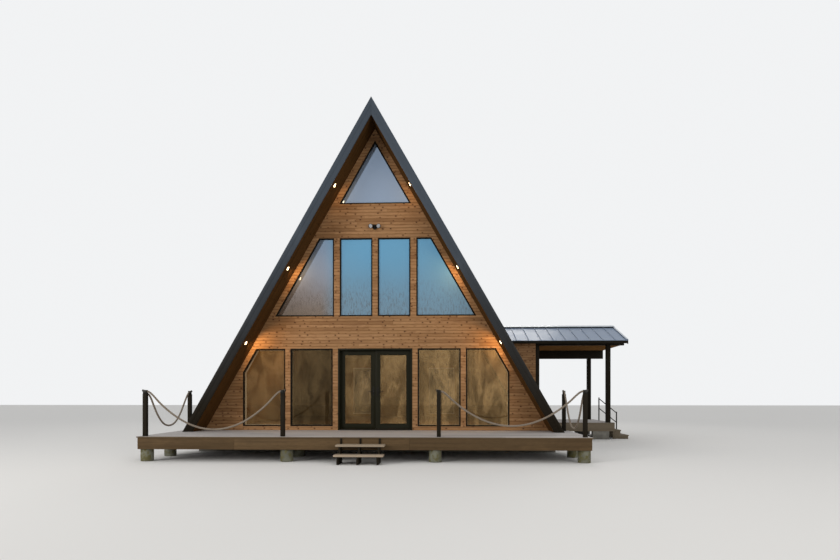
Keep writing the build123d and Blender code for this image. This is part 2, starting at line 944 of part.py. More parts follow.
def entry_door():
    """Closed door and its frame in the entry's outer wall."""
    half = entry_door_wide / 2
    inner = half - entry_jamb
    x0 = entry_outer - entry_wall
    x1 = entry_outer - entry_door_back
    sill, head = deck_top + sill_high, deck_top + entry_door_high
    y0, y1 = porch_mid_y - inner, porch_mid_y + inner
    frame = block(x0, entry_outer, porch_mid_y - half, porch_mid_y + half, deck_top, head)
    frame -= block(x0 - 1, entry_outer + 1, y0, y1, sill, head - entry_jamb)
    return [frame + block(x1 - entry_door_thick, x1, y0, y1, sill, head - entry_jamb)]


def porch_slope_plate(side, top, under, x0, x1, reach, from_ridge=0.0):
    """Slice of the porch roof between two upright depths, on one side of its ridge."""
    start = porch_mid_y + side * from_ridge
    edge = porch_mid_y + side * reach
    high = porch_ridge_z - from_ridge * porch_slope
    low = porch_ridge_z - reach * porch_slope
    points = [(start, high - top), (edge, low - top), (edge, low - under), (start, high - under)]
    return plate_yz(points, x0, x1)


def porch_roof_metal():
    """Pans and seams of the porch roof, cut to the main roof's metal."""
    count = int((porch_roof_end - half_span(porch_ridge_z, pan_top)) / porch_seam_pitch)
    under = porch_seam_high + porch_sheet
    solids = []
    for side in (-1, 1):
        metal = porch_slope_plate(side, porch_seam_high, under, 0, porch_roof_end, porch_half, mitre)
        for number in range(count + 1):
            x1 = porch_roof_end - number * porch_seam_pitch
            x0 = x1 - seam_width
            metal += porch_slope_plate(side, 0, porch_seam_high, x0, x1, porch_half, mitre)
        solids.append(metal & main_roof_clip(pan_top))
    return solids


def porch_roof_deck():
    """Rafters and soffit of the porch roof as one thick panel a side, cut to the main roof."""
    top = porch_seam_high + porch_sheet
    under = top + porch_slab
    end = porch_roof_end - porch_fascia_thick
    reach = porch_half - porch_fascia_thick
    solids = []
    for side in (-1, 1):
        deck = porch_slope_plate(side, top, under, 0, end, reach, mitre)
        solids.append(deck & main_roof_clip(pan_under))
    return solids


def porch_fascia():
    """Boards at the porch roof's eaves and its gable end."""
    top = porch_seam_high + porch_sheet
    low = top + porch_slab + porch_board
    solids = None
    for side in (-1, 1):
        edge = porch_mid_y + side * porch_half
        inner = edge - side * porch_fascia_thick
        drop = porch_ridge_z - porch_half * porch_slope
        eave_top = porch_ridge_z - top - porch_half * porch_slope
        points = [
            (edge, eave_top), (inner, eave_top), (inner, drop - porch_fascia_high - top),
            (edge, drop - porch_fascia_high - top),
        ]
        eave = plate_yz(points, 0, porch_roof_end)
        rake = porch_slope_plate(side, top, low, porch_roof_end - porch_fascia_thick,
                                 porch_roof_end, porch_half)
        piece = eave + rake
        solids = piece if solids is None else solids + piece
    return [solids & main_roof_clip(pan_top)]


porch_post_ys = (entry_front + porch_post_inset, entry_back - porch_post_inset)


def beam_top(y, side):
    """Where a beam along an eave meets the roof panel, at its outer face."""
    return roof_under_at(y + side * beam_wide / 2)


def porch_beams():
    """Beams along the eaves, which run past the posts to the end of the roof."""
    half = beam_wide / 2
    end = porch_roof_end - porch_fascia_thick
    solids = []
    for y, side, high in zip(porch_post_ys, (-1, 1), beam_highs):
        top = beam_top(y, side)
        solids.append(block(entry_outer, end, y - half, y + half, top - high, top))
    return solids


def porch_ceiling():
    """Flat boards between the beams, and the board wall that closes the gable over them."""
    y0 = porch_post_ys[0] + beam_wide / 2
    y1 = porch_post_ys[1] - beam_wide / 2
    low = deck_top + ceiling_high
    top = low + ceiling_thick
    end = porch_roof_end - porch_fascia_thick
    points = [
        (y0, top + mitre), (y0, roof_under_at(y0)), (porch_mid_y, roof_under_at(porch_mid_y)),
        (y1, roof_under_at(y1)), (y1, top + mitre),
    ]
    gable = plate_yz(points, end - ceiling_thick, end)
    return [block(entry_outer, end, y0, y1, low, top), gable]


def porch_posts():
    """Posts at the outer corners."""
    half = porch_post / 2
    x0, x1 = porch_post_x - half, porch_post_x + half
    solids = []
    for y, side, high in zip(porch_post_ys, (-1, 1), beam_highs):
        solids.append(block(x0, x1, y - half, y + half, deck_top, beam_top(y, side) - high))
    return solids


def porch_floor():
    """Boarded landing beside the entry, with its rim boards."""
    inner = half_span(deck_top, pan_under) + leaf_gap
    low = deck_top - porch_skirt_high
    under = deck_top - porch_board
    top = under - mitre
    solids = [block(inner, porch_end, entry_front, entry_back, under, deck_top)]
    for y in (entry_front, entry_back - skirt_thick):
        solids.append(block(inner, porch_end, y, y + skirt_thick, low, top))
    for x in (inner, porch_end - skirt_thick):
        y0 = entry_front + skirt_thick + mitre
        solids.append(block(x, x + skirt_thick, y0, entry_back - skirt_thick - mitre, low, top))
    return solids


def porch_blocks():
    """Concrete blocks under the landing."""
    high = deck_top - porch_skirt_high
    half = block_wide / 2
    solids = []
    for x, long in zip((entry_outer + block_longs[0], porch_end - block_set), block_longs):
        for y in (entry_front + half, entry_back - half):
            solids.append(block(x - long / 2, x + long / 2, y - half, y + half, 0, high))
    return solids


def porch_steps():
    """Open steps at the landing's outer end."""
    y0 = entry_front + porch_step_start
    y1 = y0 + porch_step_wide
    going = porch_step_run - tread_overlap
    ends = (porch_end + going, porch_end + 2 * going)
    unders = [top - tread_thick for top in porch_tread_tops]
    steps = block(porch_end, porch_end + porch_step_run, y0, y1, unders[0], porch_tread_tops[0])
    steps += block(ends[0], ends[0] + porch_step_run, y0, y1, unders[1], porch_tread_tops[1])
    points = [
        (porch_end, unders[0]), (porch_end, 0), (ends[1], 0), (ends[1], unders[1]),
        (ends[0], unders[1]), (ends[0], unders[0]),
    ]
    for y in (y0, (y0 + y1) / 2, y1 - stringer_thick):
        steps += plate_xz(points, y, y + stringer_thick)
    return [steps]


def porch_handrail():
    """Newel, lower post and two sloping rails at the back of the steps."""
    y = entry_front + porch_step_start + porch_step_wide + rail_tube
    half = rail_tube / 2
    run = porch_step_run - tread_overlap
    fall = (deck_top - porch_tread_tops[1]) / 2 / run
    x0 = porch_end - 2 * rail_tube
    x1 = porch_end + 2 * run + rail_tube
    low_top = deck_top + rail_high - fall * (x1 - x0)
    solids = [
        block(x0 - half, x0 + half, y - half, y + half, deck_top, deck_top + rail_high),
        block(x1 - half, x1 + half, y - half, y + half, 0, low_top),
    ]
    for drop in (rail_tube, rail_drop):
        top = deck_top + rail_high - drop
        start, end = x0 + half + mitre, x1 - half - mitre
        points = [
            (start, top), (end, top - fall * (end - start)),
            (end, top - fall * (end - start) - rail_tube), (start, top - rail_tube),
        ]
        solids.append(plate_xz(points, y - half, y + half))
    return solids


save("foundation_walls", foundation())
save("ground_floor", ground_floor())
save("loft_floor", loft_floor())
save("roof_left", roof_slab(-1, slab_front, slab_back))
save("roof_right_front", roof_slab(1, slab_front, entry_inner_front))
save("roof_right_rear", roof_slab(1, entry_inner_back, slab_back))
save("roof_right_over_entry", roof_slab(1, entry_inner_front, entry_inner_back, entry_head))
save("roof_metal_left", [metal_sheet(-1)])
save("roof_metal_right", metal_right())
save("ridge_cap", ridge_cap())
save("soffit_boards", soffit_boards())
save("barge_boards", barge_boards())
save("rake_trims", rake_trims())
save("front_wall_left", front_wall_side(-1))
save("front_wall_right", front_wall_side(1))
save("front_wall_upper", front_wall_upper())
save("back_wall", back_wall())
save("window_frames", window_solids(window_frame))
save("window_glass", window_solids(window_glass))
save("window_liners", window_solids(window_liner))
save("door_frame", door_frame())
save("door_hinges", door_hinges())
for hand, side in (("left", -1), ("right", 1)):
    save(f"door_leaf_{hand}", door_leaf(side))
    save(f"door_glass_{hand}", door_glass(side))
    save(f"door_lever_{hand}", door_lever(side))
    save(f"rope_front_{hand}", [rope(f"rope_front_{hand}", front_points(side))])
    save(f"rope_side_{hand}", [rope(f"rope_side_{hand}", side_points(side))])
save("soffit_lights", soffit_lights())
save("wall_floodlight", wall_floodlight())
save("deck_boards", deck_boards())
save("deck_skirt", deck_skirt())
save("deck_framing", deck_framing())
save("deck_piers", deck_piers())
save("deck_posts", deck_posts())
save("rope_brackets", rope_brackets())
save("rope_end_caps", rope_end_caps())
save("front_steps", front_steps())
save("step_stringers", step_stringers())
save("entry_wall_front", cheek_wall(entry_front))
save("entry_wall_rear", cheek_wall(entry_inner_back))
save("entry_wall_outer", entry_wall_outer())
save("entry_door", entry_door())
save("porch_roof_metal", porch_roof_metal())
save("porch_roof_deck", porch_roof_deck())
save("porch_fascia", porch_fascia())
save("porch_beams", porch_beams())
save("porch_ceiling", porch_ceiling())
save("porch_posts", porch_posts())
save("porch_floor", porch_floor())
save("porch_blocks", porch_blocks())
save("porch_steps", porch_steps())
save("porch_handrail", porch_handrail())
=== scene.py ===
import math
import random

import bmesh
import bpy
from bpy.props import FloatProperty, FloatVectorProperty, IntProperty, PointerProperty
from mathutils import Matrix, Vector


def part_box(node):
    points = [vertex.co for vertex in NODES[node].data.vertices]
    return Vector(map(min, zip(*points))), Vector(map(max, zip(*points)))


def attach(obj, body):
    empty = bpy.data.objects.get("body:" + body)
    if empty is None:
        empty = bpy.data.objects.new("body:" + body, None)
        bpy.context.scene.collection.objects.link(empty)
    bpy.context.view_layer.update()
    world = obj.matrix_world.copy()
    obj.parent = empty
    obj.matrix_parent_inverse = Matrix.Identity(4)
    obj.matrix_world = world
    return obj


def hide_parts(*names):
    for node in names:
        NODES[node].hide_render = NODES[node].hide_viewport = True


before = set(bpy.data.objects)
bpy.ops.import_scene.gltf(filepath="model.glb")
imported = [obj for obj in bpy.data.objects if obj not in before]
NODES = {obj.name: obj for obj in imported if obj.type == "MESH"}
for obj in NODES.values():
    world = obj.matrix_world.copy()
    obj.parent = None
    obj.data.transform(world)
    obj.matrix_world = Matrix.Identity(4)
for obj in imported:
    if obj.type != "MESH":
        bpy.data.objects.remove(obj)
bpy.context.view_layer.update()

bl_info = {
    "name": "A-frame cabin",
    "version": (1, 0, 0),
    "blender": (4, 5, 0),
    "location": "3D View > Sidebar > Cabin",
    "description": "Boards, windows, doors, deck, ropes and porch of an A-frame cabin",
    "category": "Object",
}

BODY = "cabin"
X, Y, Z = Vector((1, 0, 0)), Vector((0, 1, 0)), Vector((0, 0, 1))

# Slopes of the two roofs, and places in metres, as in the part's source
ROOF_RISE, PORCH_RISE, RUN = 21, 4.25, 12
PITCH = math.atan2(ROOF_RISE, RUN)
PORCH_PITCH = math.atan2(PORCH_RISE, RUN)
PORCH_RIDGE = Vector((0, 6.15, 3.905))
SOFFIT_DEPTH = 0.223
APEX_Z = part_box("rake_trims")[1].z
DECK_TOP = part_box("deck_boards")[1].z
WALL_FACE = -0.1

# The boards' grain has a line of painted shade after each such width, at a board's two edges, for the
# groove between two boards
GRAIN_STEP = 0.08

# The photograph's width, and its focal length and horizon's shift, in its own pixels
PHOTO_WIDE, PHOTO_FOCAL, PHOTO_SHIFT = 840, 613, 116


def colour(name, text, value):
    """A colour that a user may change."""
    return FloatVectorProperty(name=name, description=text, subtype="COLOR", size=3, min=0, max=1,
                               default=value)


def length(name, text, value):
    """A length that a user may change."""
    return FloatProperty(name=name, description=text, default=value, unit="LENGTH",
                         subtype="DISTANCE")


class CabinSizes(bpy.types.PropertyGroup):
    """Sizes of the boards, beads and strands."""

    siding_pitch: length("Siding pitch", "Height that one wall board covers", 0.080)
    siding_thick: length("Siding thickness", "How far the boards stand on the wall", 0.008)
    groove: length("Groove", "Width of the chamfer along each board's edge", 0.0035)
    soffit_pitch: length("Soffit pitch", "Width that one soffit board covers", 0.0812)
    deck_pitch: length("Deck pitch", "Width of one deck board with its gap", 0.1375)
    deck_gap: length("Deck gap", "Gap between two deck boards", 0.005)
    bead_wide: length("Bead width", "Width of the bead round each glass", 0.007)
    bead_high: length("Bead height", "How far the bead stands on the glass", 0.012)
    strand_lead: length("Strand lead", "Length in which a rope's strand turns once", 0.15)
    strands: IntProperty(name="Strands", description="Strands in each rope", default=3, min=2, max=4)


class CabinColours(bpy.types.PropertyGroup):
    """Colours of the finishes."""

    cedar: colour("Siding", "Main tone of the wall boards", (0.268, 0.146, 0.062))
    cedar_pale: colour("Siding, pale", "Palest wall boards", (0.39, 0.225, 0.110))
    # The dark siding tone also paints the shade of the grooves between the boards
    cedar_dark: colour("Siding, dark", "Grain and darkest wall boards", (0.105, 0.040, 0.013))
    knot: colour("Knots", "Knots in the boards", (0.030, 0.012, 0.006))
    # The soffit's tone is darkened to about half, as painted shade of the overhang
    soffit: colour("Soffit", "Main tone of the soffit boards", (0.085, 0.041, 0.014))
    ceiling: colour("Porch ceiling", "Boards of the porch ceiling", (0.21, 0.105, 0.036))
    porch_trim: colour("Porch trims", "Ridge cap and edge of the porch roof", (0.55, 0.60, 0.66))
    inside: colour("Inside boards", "Wood lining of the rooms", (0.36, 0.225, 0.115))
    roof: colour("Roof", "Coated metal of the roof", (0.026, 0.029, 0.034))
    roof_edge: colour("Roof edge", "Folded metal along the rakes", (0.046, 0.058, 0.074))
    black: colour("Window frames", "Coated window frames", (0.007, 0.006, 0.004))
    door: colour("Doors", "Painted door leaves and frame", (0.011, 0.0105, 0.005))
    # The glass tones are painted reflections: painted sky in the upper windows, painted branches in brown
    # in the lower ones
    glass_blue: colour("Upper glass", "Mirror tone of the upper windows", (0.155, 0.385, 0.59))
    glass_pale: colour("Upper glass, low", "Mirror tone near the sills", (0.19, 0.30, 0.39))
    glass_grey: colour("Gable glass", "Mirror tone of the topmost window", (0.30, 0.385, 0.515))
    glass_low: colour("Lower glass", "Mirror tone of the lower windows", (0.44, 0.300, 0.140))
    lining: colour("Lining", "Painted jambs and inside boards", (0.72, 0.69, 0.63))
    deck: colour("Deck", "Walking boards of the deck", (0.40, 0.38, 0.37))
    skirt: colour("Skirt", "Face boards under the deck's edge", (0.108, 0.068, 0.033))
    # The edge covers' brown is partly painted shade along the deck's edge
    covers: colour("Edge covers", "Covers on the deck's edge", (0.095, 0.067, 0.040))
    steps: colour("Steps", "Boards of the front steps", (0.275, 0.220, 0.160))
    landing: colour("Landing", "Boards round the side landing", (0.155, 0.125, 0.088))
    timber: colour("Timber", "Framing under the deck", (0.060, 0.040, 0.024))
    post: colour("Posts", "Stained posts and beams", (0.011, 0.0085, 0.005))
    concrete: colour("Concrete", "Foundation walls and blocks", (0.20, 0.19, 0.165))
    pier: colour("Piers", "Round piers", (0.150, 0.150, 0.108))
    moss: colour("Moss", "Growth on the piers", (0.080, 0.070, 0.018))
    rope: colour("Rope", "Twisted rope", (0.235, 0.190, 0.145))
    porch_roof: colour("Porch roof", "Coated metal of the porch roof", (0.235, 0.30, 0.41))
    light: colour("Lamps", "Warm light of the fittings", (1.0, 0.62, 0.28))


def sizes():
    """The sizes set in the scene."""
    return bpy.context.scene.cabin_sizes


def tints():
    """The colours set in the scene."""
    return bpy.context.scene.cabin_colours


# Finishes


class Value:
    """A socket of a finish's nodes, with the arithmetic that adds its Math nodes."""

    def __init__(self, finish, socket):
        self.finish = finish
        self.socket = socket

    def maths(self, operation, *values):
        """A Math node with these values in turn."""
        return self.finish.add("ShaderNodeMath", {"operation": operation}, dict(enumerate(values)))

    def __add__(self, other):
        return self.maths("ADD", self, other)

    __radd__ = __add__

    def __sub__(self, other):
        return self.maths("SUBTRACT", self, other)

    def __rsub__(self, other):
        return self.maths("SUBTRACT", other, self)

    def __mul__(self, other):
        return self.maths("MULTIPLY", self, other)

    __rmul__ = __mul__

    def __lt__(self, other):
        return self.maths("LESS_THAN", self, other)

    def lesser(self, other):
        return self.maths("MINIMUM", self, other)

    def greater(self, other):
        return self.maths("MAXIMUM", self, other)

    def fract(self):
        return self.maths("FRACT", self)

    def band(self, low, high):
        """0 below low, 1 above high and smooth between them."""
        return self.finish.add("ShaderNodeMapRange", {"interpolation_type": "SMOOTHSTEP"},
                               {"Value": self, "From Min": low, "From Max": high})


class Finish:
    """One material, or the world's light, built node by node."""

    def __init__(self, name, world=False):
        self.owner = (bpy.data.worlds if world else bpy.data.materials).new(name)
        self.owner.use_nodes = True
        self.nodes = self.owner.node_tree.nodes
        self.links = self.owner.node_tree.links
        self.nodes.clear()
        self.output = self.nodes.new("ShaderNodeOutputWorld" if world else "ShaderNodeOutputMaterial")

    def add(self, kind, settings=None, inputs=None, output=0):
        """A node of a kind, with its settings first and then its sockets' values or links."""
        node = self.nodes.new(kind)
        for key, value in (settings or {}).items():
            setattr(node, key, value)
        for key, value in (inputs or {}).items():
            socket = node.inputs[key]
            if isinstance(value, Value):
                self.links.new(value.socket, socket)
            elif hasattr(value, "__len__"):
                socket.default_value = (*value, 1)[:len(socket.default_value)]
            else:
                socket.default_value = value
        return Value(self, node.outputs[output])

    def object_place(self, turn=None):
        """Object coordinates, turned where the grain runs another way."""
        place = self.add("ShaderNodeTexCoord", output="Object")
        if turn:
            place = self.add("ShaderNodeMapping", {}, {"Vector": place, "Rotation": turn})
        return place

    def board_place(self):
        """A board's own coordinates: metres along it and across it."""
        return self.add("ShaderNodeUVMap", {"uv_map": "boards"})

    def board_number(self):
        """A number from 0 to 1 that each board has for itself."""
        return self.add("ShaderNodeAttribute", {"attribute_name": "board"}, output="Fac")

    def stretch(self, place, scale):
        """A place times a number for each axis."""
        return self.add("ShaderNodeVectorMath", {"operation": "MULTIPLY"}, {0: place, 1: scale})

    def axis(self, place, number):
        """One axis of a place."""
        return self.add("ShaderNodeSeparateXYZ", {}, {"Vector": place}, output=number)

    def noise(self, place, scale, detail=2.0, rough=0.5, bend=0.0):
        """Noise with one scale, or with a scale for each axis."""
        if hasattr(scale, "__len__"):
            place, scale = self.stretch(place, scale), 1.0
        return self.add("ShaderNodeTexNoise", {}, {"Vector": place, "Scale": scale, "Detail": detail,
                                                   "Roughness": rough, "Distortion": bend})

    def layers(self, shade, *coats):
        """A colour under coats of other colours, each through its own mask."""
        for mask, coat in coats:
            shade = self.add("ShaderNodeMix", {"data_type": "RGBA"}, {0: mask, 6: shade, 7: coat},
                             output=2)
        return shade

    def show(self, shader):
        """Link a shader to the output, and give the material or the world."""
        self.links.new(shader.socket, self.output.inputs["Surface"])
        return self.owner

    def surface(self, shade, rough, bump=None, gloss=0.5, glow=0.0):
        """The principled shader, with a bump's height, depth in metres and strength."""
        inputs = {"Base Color": shade, "Roughness": rough, "Specular IOR Level": gloss}
        if bump:
            keys = ("Height", "Distance", "Strength")
            inputs["Normal"] = self.add("ShaderNodeBump", {}, dict(zip(keys, bump)))
        if glow:
            inputs.update({"Emission Color": shade, "Emission Strength": glow})
        return self.show(self.add("ShaderNodeBsdfPrincipled", {}, inputs))


def scaled(shade, by, plus=0.0):
    """A paler or darker colour."""
    return [min(1, part * by + plus) for part in shade]


def knots(finish, place, share):
    """Masks of knots in this share of the cells along the boards: their cores and their halos."""
    along, across = 4.6, 12.5
    cells = finish.stretch(place, (along, across, 0.0))
    settings = {"voronoi_dimensions": "2D"}
    spot = {"Vector": cells, "Scale": 1.0, "Randomness": 0.75}
    near = finish.add("ShaderNodeTexVoronoi", settings, spot, output="Position")
    pick = finish.add("ShaderNodeTexVoronoi", settings, spot, output="Color")
    red, green = (finish.add("ShaderNodeSeparateColor", {}, {"Color": pick}, output=channel)
                  for channel in range(2))
    gap = finish.add("ShaderNodeVectorMath", {"operation": "SUBTRACT"}, {0: near, 1: cells})
    gap = finish.stretch(gap, (1 / along * 0.8, 1 / across, 0.0))
    far = finish.add("ShaderNodeVectorMath", {"operation": "LENGTH"}, {0: gap}, output="Value")
    wobble = finish.noise(place, (60.0, 60.0, 0.0), 1.0) * 0.008
    size = green * 0.008 + 0.005
    chosen = red < share
    core = (1 - (far + wobble - 0.004 - size).band(-0.002, 0.003)) * chosen
    halo = (1 - (far - size).band(0.0, 0.026)) * chosen
    return core, halo


def wood(name, main, pale, dark, knot=None, along=None, rough=0.62, knot_share=0.55, gloss=0.16):
    """Wood with grain and growth bands, on boards with knots and a tone for each of them, or on a
    whole piece where along says that its grain runs along X (0) or Y (1)."""
    finish = Finish(name)
    if along is None:
        place = finish.board_place()
        number = finish.board_number()
    else:
        place = finish.object_place(((math.pi / 2, 0, 0), (0, 0, -math.pi / 2))[along])
        number = finish.noise(place, (0.05, 6.0, 6.0), 0.0)
    slow = finish.noise(place, (0.7, 9.0, 9.0), 2.0, 0.55, 0.4)
    bands = (slow * 9.0 + finish.noise(place, (0.5, 30.0, 30.0), 1.0) * 0.6).fract()
    fine = finish.noise(place, (5.0, 210.0, 210.0), 3.0, 0.65)
    cloud = finish.noise(place, (1.3, 5.0, 5.0), 1.0)
    shade = finish.layers(main,
                          (number.band(0.15, 0.95) * 0.45, pale),
                          ((1 - number).band(0.72, 1.0) * 0.30, dark),
                          (cloud.band(0.45, 0.85) * 0.35, dark),
                          (bands.band(0.62, 1.0) * 0.34, dark),
                          (fine.band(0.44, 0.72) * 0.45, dark))
    height = fine * 0.5 + bands.band(0.6, 1.0) * 0.35
    if along is None:
        # Painted shade of the groove along each board's two edges
        level = (finish.axis(place, 1) * (1 / GRAIN_STEP)).fract()
        line = 1 - level.lesser(1 - level).band(0.01, 0.17)
        shade = finish.layers(shade, (line * 0.68, dark))
    if knot is not None:
        core, halo = knots(finish, place, knot_share)
        shade = finish.layers(shade, (halo * 0.5, dark), (core * 0.92, knot))
        height = height + halo * 0.3
    return finish.surface(shade, 0.12 * fine + (rough - 0.06), (height, 0.0009, 0.6), gloss)


def composite(name, main, rough=0.7, on_boards=True, spread=0.14, gloss=0.2):
    """Capped deck boards: a shallow embossed grain, a little dust and a tone of their own."""
    finish = Finish(name)
    place = finish.board_place() if on_boards else finish.object_place()
    number = finish.board_number() if on_boards else finish.noise(place, 0.7, 1.0)
    grain = finish.noise(place, (7.0, 130.0, 130.0), 3.0, 0.6, 0.3)
    dust = finish.noise(place, (1.1, 2.3, 2.3), 3.0, 0.6)
    streak = finish.noise(place, (0.45, 16.0, 16.0), 3.0, 0.6)
    dark = scaled(main, 1 - spread * 2.2)
    pale = scaled(main, 1 + spread * 1.6)
    shade = finish.layers(scaled(main, 1 - spread),
                          (number, pale),
                          (grain.band(0.45, 0.75) * 0.55, dark),
                          (dust.band(0.52, 0.8) * 0.35, pale),
                          (streak.band(0.42, 0.66) * 0.40, dark))
    return finish.surface(shade, dust * 0.18 + (rough - 0.08), (grain, 0.0008, 0.7), gloss)


def coated_metal(name, main, rough, ripple=0.0, dust=0.25, gloss=0.25, foot=None):
    """Coated sheet or casting with faint waves and dust, and darker towards its foot where a foot colour
    is given.
    """
    finish = Finish(name)
    place = finish.object_place()
    wave = finish.noise(place, (2.2, 2.2, 1.1), 1.0)
    speck = finish.noise(place, 140.0, 2.0, 0.6)
    film = finish.noise(place, (1.6, 1.6, 0.8), 4.0, 0.62)
    pale = scaled(main, 1.7, 0.006)
    shade = finish.layers(main,
                          (film.band(0.50, 0.80) * dust, pale),
                          (speck.band(0.62, 0.75) * dust * 0.5, pale))
    if foot is not None:
        # Darker brown towards the foot, fading out between 1.5 m and 7.5 m up
        above_foot = (finish.axis(place, 2) + film * 1.5).band(1.5, 7.5)
        shade = finish.layers(foot, (above_foot, shade))
    height = wave * ripple + speck * 0.02
    return finish.surface(shade, film * 0.22 + (rough - 0.1), (height, 0.004, 0.5), gloss)


def cast_concrete(name, main, growth=None):
    """Cast concrete with pits, stains and growth near the ground."""
    finish = Finish(name)
    place = finish.object_place()
    cloud = finish.noise(place, 3.1, 5.0, 0.62)
    pit = finish.noise(place, 85.0, 3.0, 0.6)
    drip = finish.noise(place, (9.0, 9.0, 1.1), 3.0, 0.6)
    dark = scaled(main, 0.55)
    shade = finish.layers(dark,
                          (cloud.band(0.35, 0.7), main),
                          (pit.band(0.55, 0.75) * 0.5, scaled(main, 1.25)),
                          (drip.band(0.55, 0.75) * 0.5, dark))
    if growth is not None:
        patch = finish.noise(place, 7.5, 5.0, 0.7).band(0.46, 0.58)
        shade = finish.layers(shade, (patch * 0.9, growth))
    return finish.surface(shade, 0.15 * cloud + 0.8, (pit * 0.6 + cloud * 1.2, 0.004, 0.7))


def stained_timber(name, main, along=2):
    """Dark stained posts (grain along Z, axis 2) and beams (along X, axis 0), with open grain."""
    finish = Finish(name)
    place = finish.object_place()
    grain = finish.noise(place, [1.3 if axis == along else 46.0 for axis in range(3)], 4.0, 0.65, 0.4)
    cloud = finish.noise(place, 2.0, 3.0)
    pale = scaled(main, 2.2, 0.004)
    shade = finish.layers(main,
                          (grain.band(0.48, 0.76) * 0.6, pale),
                          (cloud.band(0.5, 0.8) * 0.35, pale))
    return finish.surface(shade, grain * 0.2 + 0.5, (grain, 0.0014, 0.7), 0.06)


def painted_boards(name, main):
    """Painted inside boards, a little uneven."""
    finish = Finish(name)
    place = finish.object_place()
    brush = finish.noise(place, (30.0, 30.0, 4.0))
    cloud = finish.noise(place, 1.3, 3.0)
    shade = finish.layers(main, (cloud.band(0.4, 0.8) * 0.4, scaled(main, 0.86)))
    return finish.surface(shade, brush * 0.1 + 0.5, (brush, 0.0004, 0.5))


def window_pane(name, blue, sill, grey, low):
    """Sealed glass, clear to see through, with a coat of painted reflections: painted sky, blue to
    grey up the gable, and painted branches in brown on the ground floor. One lower pane is painted
    dark and the back windows dim, as painted shade of the rooms behind them."""
    # warm and the branch colour are painted reflections; dim and dark are painted shade of the rooms
    # behind the panes
    warm, twig_reflection = (0.22, 0.165, 0.12), (0.12, 0.10, 0.085)
    dim, dark = (0.10, 0.08, 0.06), (0.020, 0.014, 0.006)
    finish = Finish(name)
    place = finish.object_place()
    across, inward, level = (finish.axis(place, number) for number in range(3))
    cloud = finish.noise(place, (0.6, 1.0, 0.7))
    upper = level.band(3.15, 3.35)
    back = inward.band(5.0, 6.0)
    # Painted sky reflection: warm low down, grey higher up
    sky_haze_reflection = finish.layers(warm, ((level + cloud * 0.6).band(3.5, 5.7), grey))
    # Painted reflections of branches: fine streaks, and broad patches below
    streaks = finish.noise(place, (30.0, 1.0, 8.0), 4.0, 0.6, 0.8)
    low_streaks = streaks.band(0.44, 0.66) * (1 - (level + cloud).band(4.0, 5.3))
    patches = finish.noise(place, (2.6, 1.0, 1.1), 3.0, 0.5, 1.2)
    # Painted reflections of the upper windows: sky, painted haze at the left, grey in the gable, branches
    # low down
    upper_reflection = finish.layers(sill,
                              ((level + cloud * 0.8).band(3.7, 5.9), blue),
                              ((0 - across + cloud * 0.5).band(1.0, 1.7), sky_haze_reflection),
                              (level.band(6.0, 6.1), grey),
                              (low_streaks * 0.5, twig_reflection))
    # Painted reflections of the lower windows: branches in brown
    lower_reflection = finish.layers(scaled(low, 0.6),
                             (patches.band(0.36, 0.64), scaled(low, 1.35)),
                             (streaks.band(0.42, 0.66) * 0.50, scaled(low, 0.30)))
    # One lower pane painted dark, as painted shade of the dark room behind it
    shaded_pane = across.band(-2.26, -2.24) * (1 - across.band(-1.06, -1.04)) * (1 - upper) * (1 - back)
    tone = finish.layers(lower_reflection, (upper, upper_reflection), (back, dim), (shaded_pane * 0.8, dark))
    clear = finish.add("ShaderNodeBsdfTransparent", {}, {"Color": (0.88, 0.84, 0.78)})
    reflection_skin = finish.add("ShaderNodeBsdfPrincipled", {},
                      {"Base Color": tone, "Roughness": cloud * 0.02 + 0.01, "Metallic": 0.55,
                       "Specular IOR Level": 0.12})
    # How much of the painted reflection covers the clear glass: more to the right, more on the painted
    # dark pane, most on the upper and back windows
    share = (across + cloud * 0.6).band(-1.4, 1.6) * 0.20 + 0.13
    share = share.greater(shaded_pane * 0.55).greater(upper.greater(back) * 0.84)
    return finish.show(finish.add("ShaderNodeMixShader", {}, {0: share, 1: clear, 2: reflection_skin}))


def twisted_rope(name, main):
    """Rope strands with yarns, fuzz and grime, and painted shade in the valleys between the yarns."""
    finish = Finish(name)
    along = finish.stretch(finish.add("ShaderNodeUVMap", {"uv_map": "yarns"}), (150.0, 5.0, 1.0))
    yarn = finish.add("ShaderNodeTexWave", {"bands_direction": "DIAGONAL"},
                      {"Vector": along, "Scale": 1.0, "Distortion": 1.2})
    place = finish.object_place()
    fuzz = finish.noise(place, 240.0, 3.0, 0.6)
    grime = finish.noise(place, 5.0, 4.0, 0.6)
    dark = scaled(main, 0.45)
    # The yarns' waves lay painted shade in the valleys between them; grime is a separate stain
    shade = finish.layers(dark,
                          (yarn, main),
                          (fuzz.band(0.5, 0.7) * 0.6, scaled(main, 1.3)),
                          (grime.band(0.55, 0.75) * 0.5, dark))
    return finish.surface(shade, fuzz * 0.1 + 0.82, (yarn + fuzz * 0.5, 0.0012, 0.8))


def lamp_lens(name, main, strength):
    """Frosted lens that glows."""
    finish = Finish(name)
    cloud = finish.noise(finish.object_place(), 25.0)
    shade = finish.layers(main, (cloud * 0.2, (1.0, 0.85, 0.6)))
    return finish.surface(shade, cloud * 0.1 + 0.35, glow=strength)


FINISHES = {}


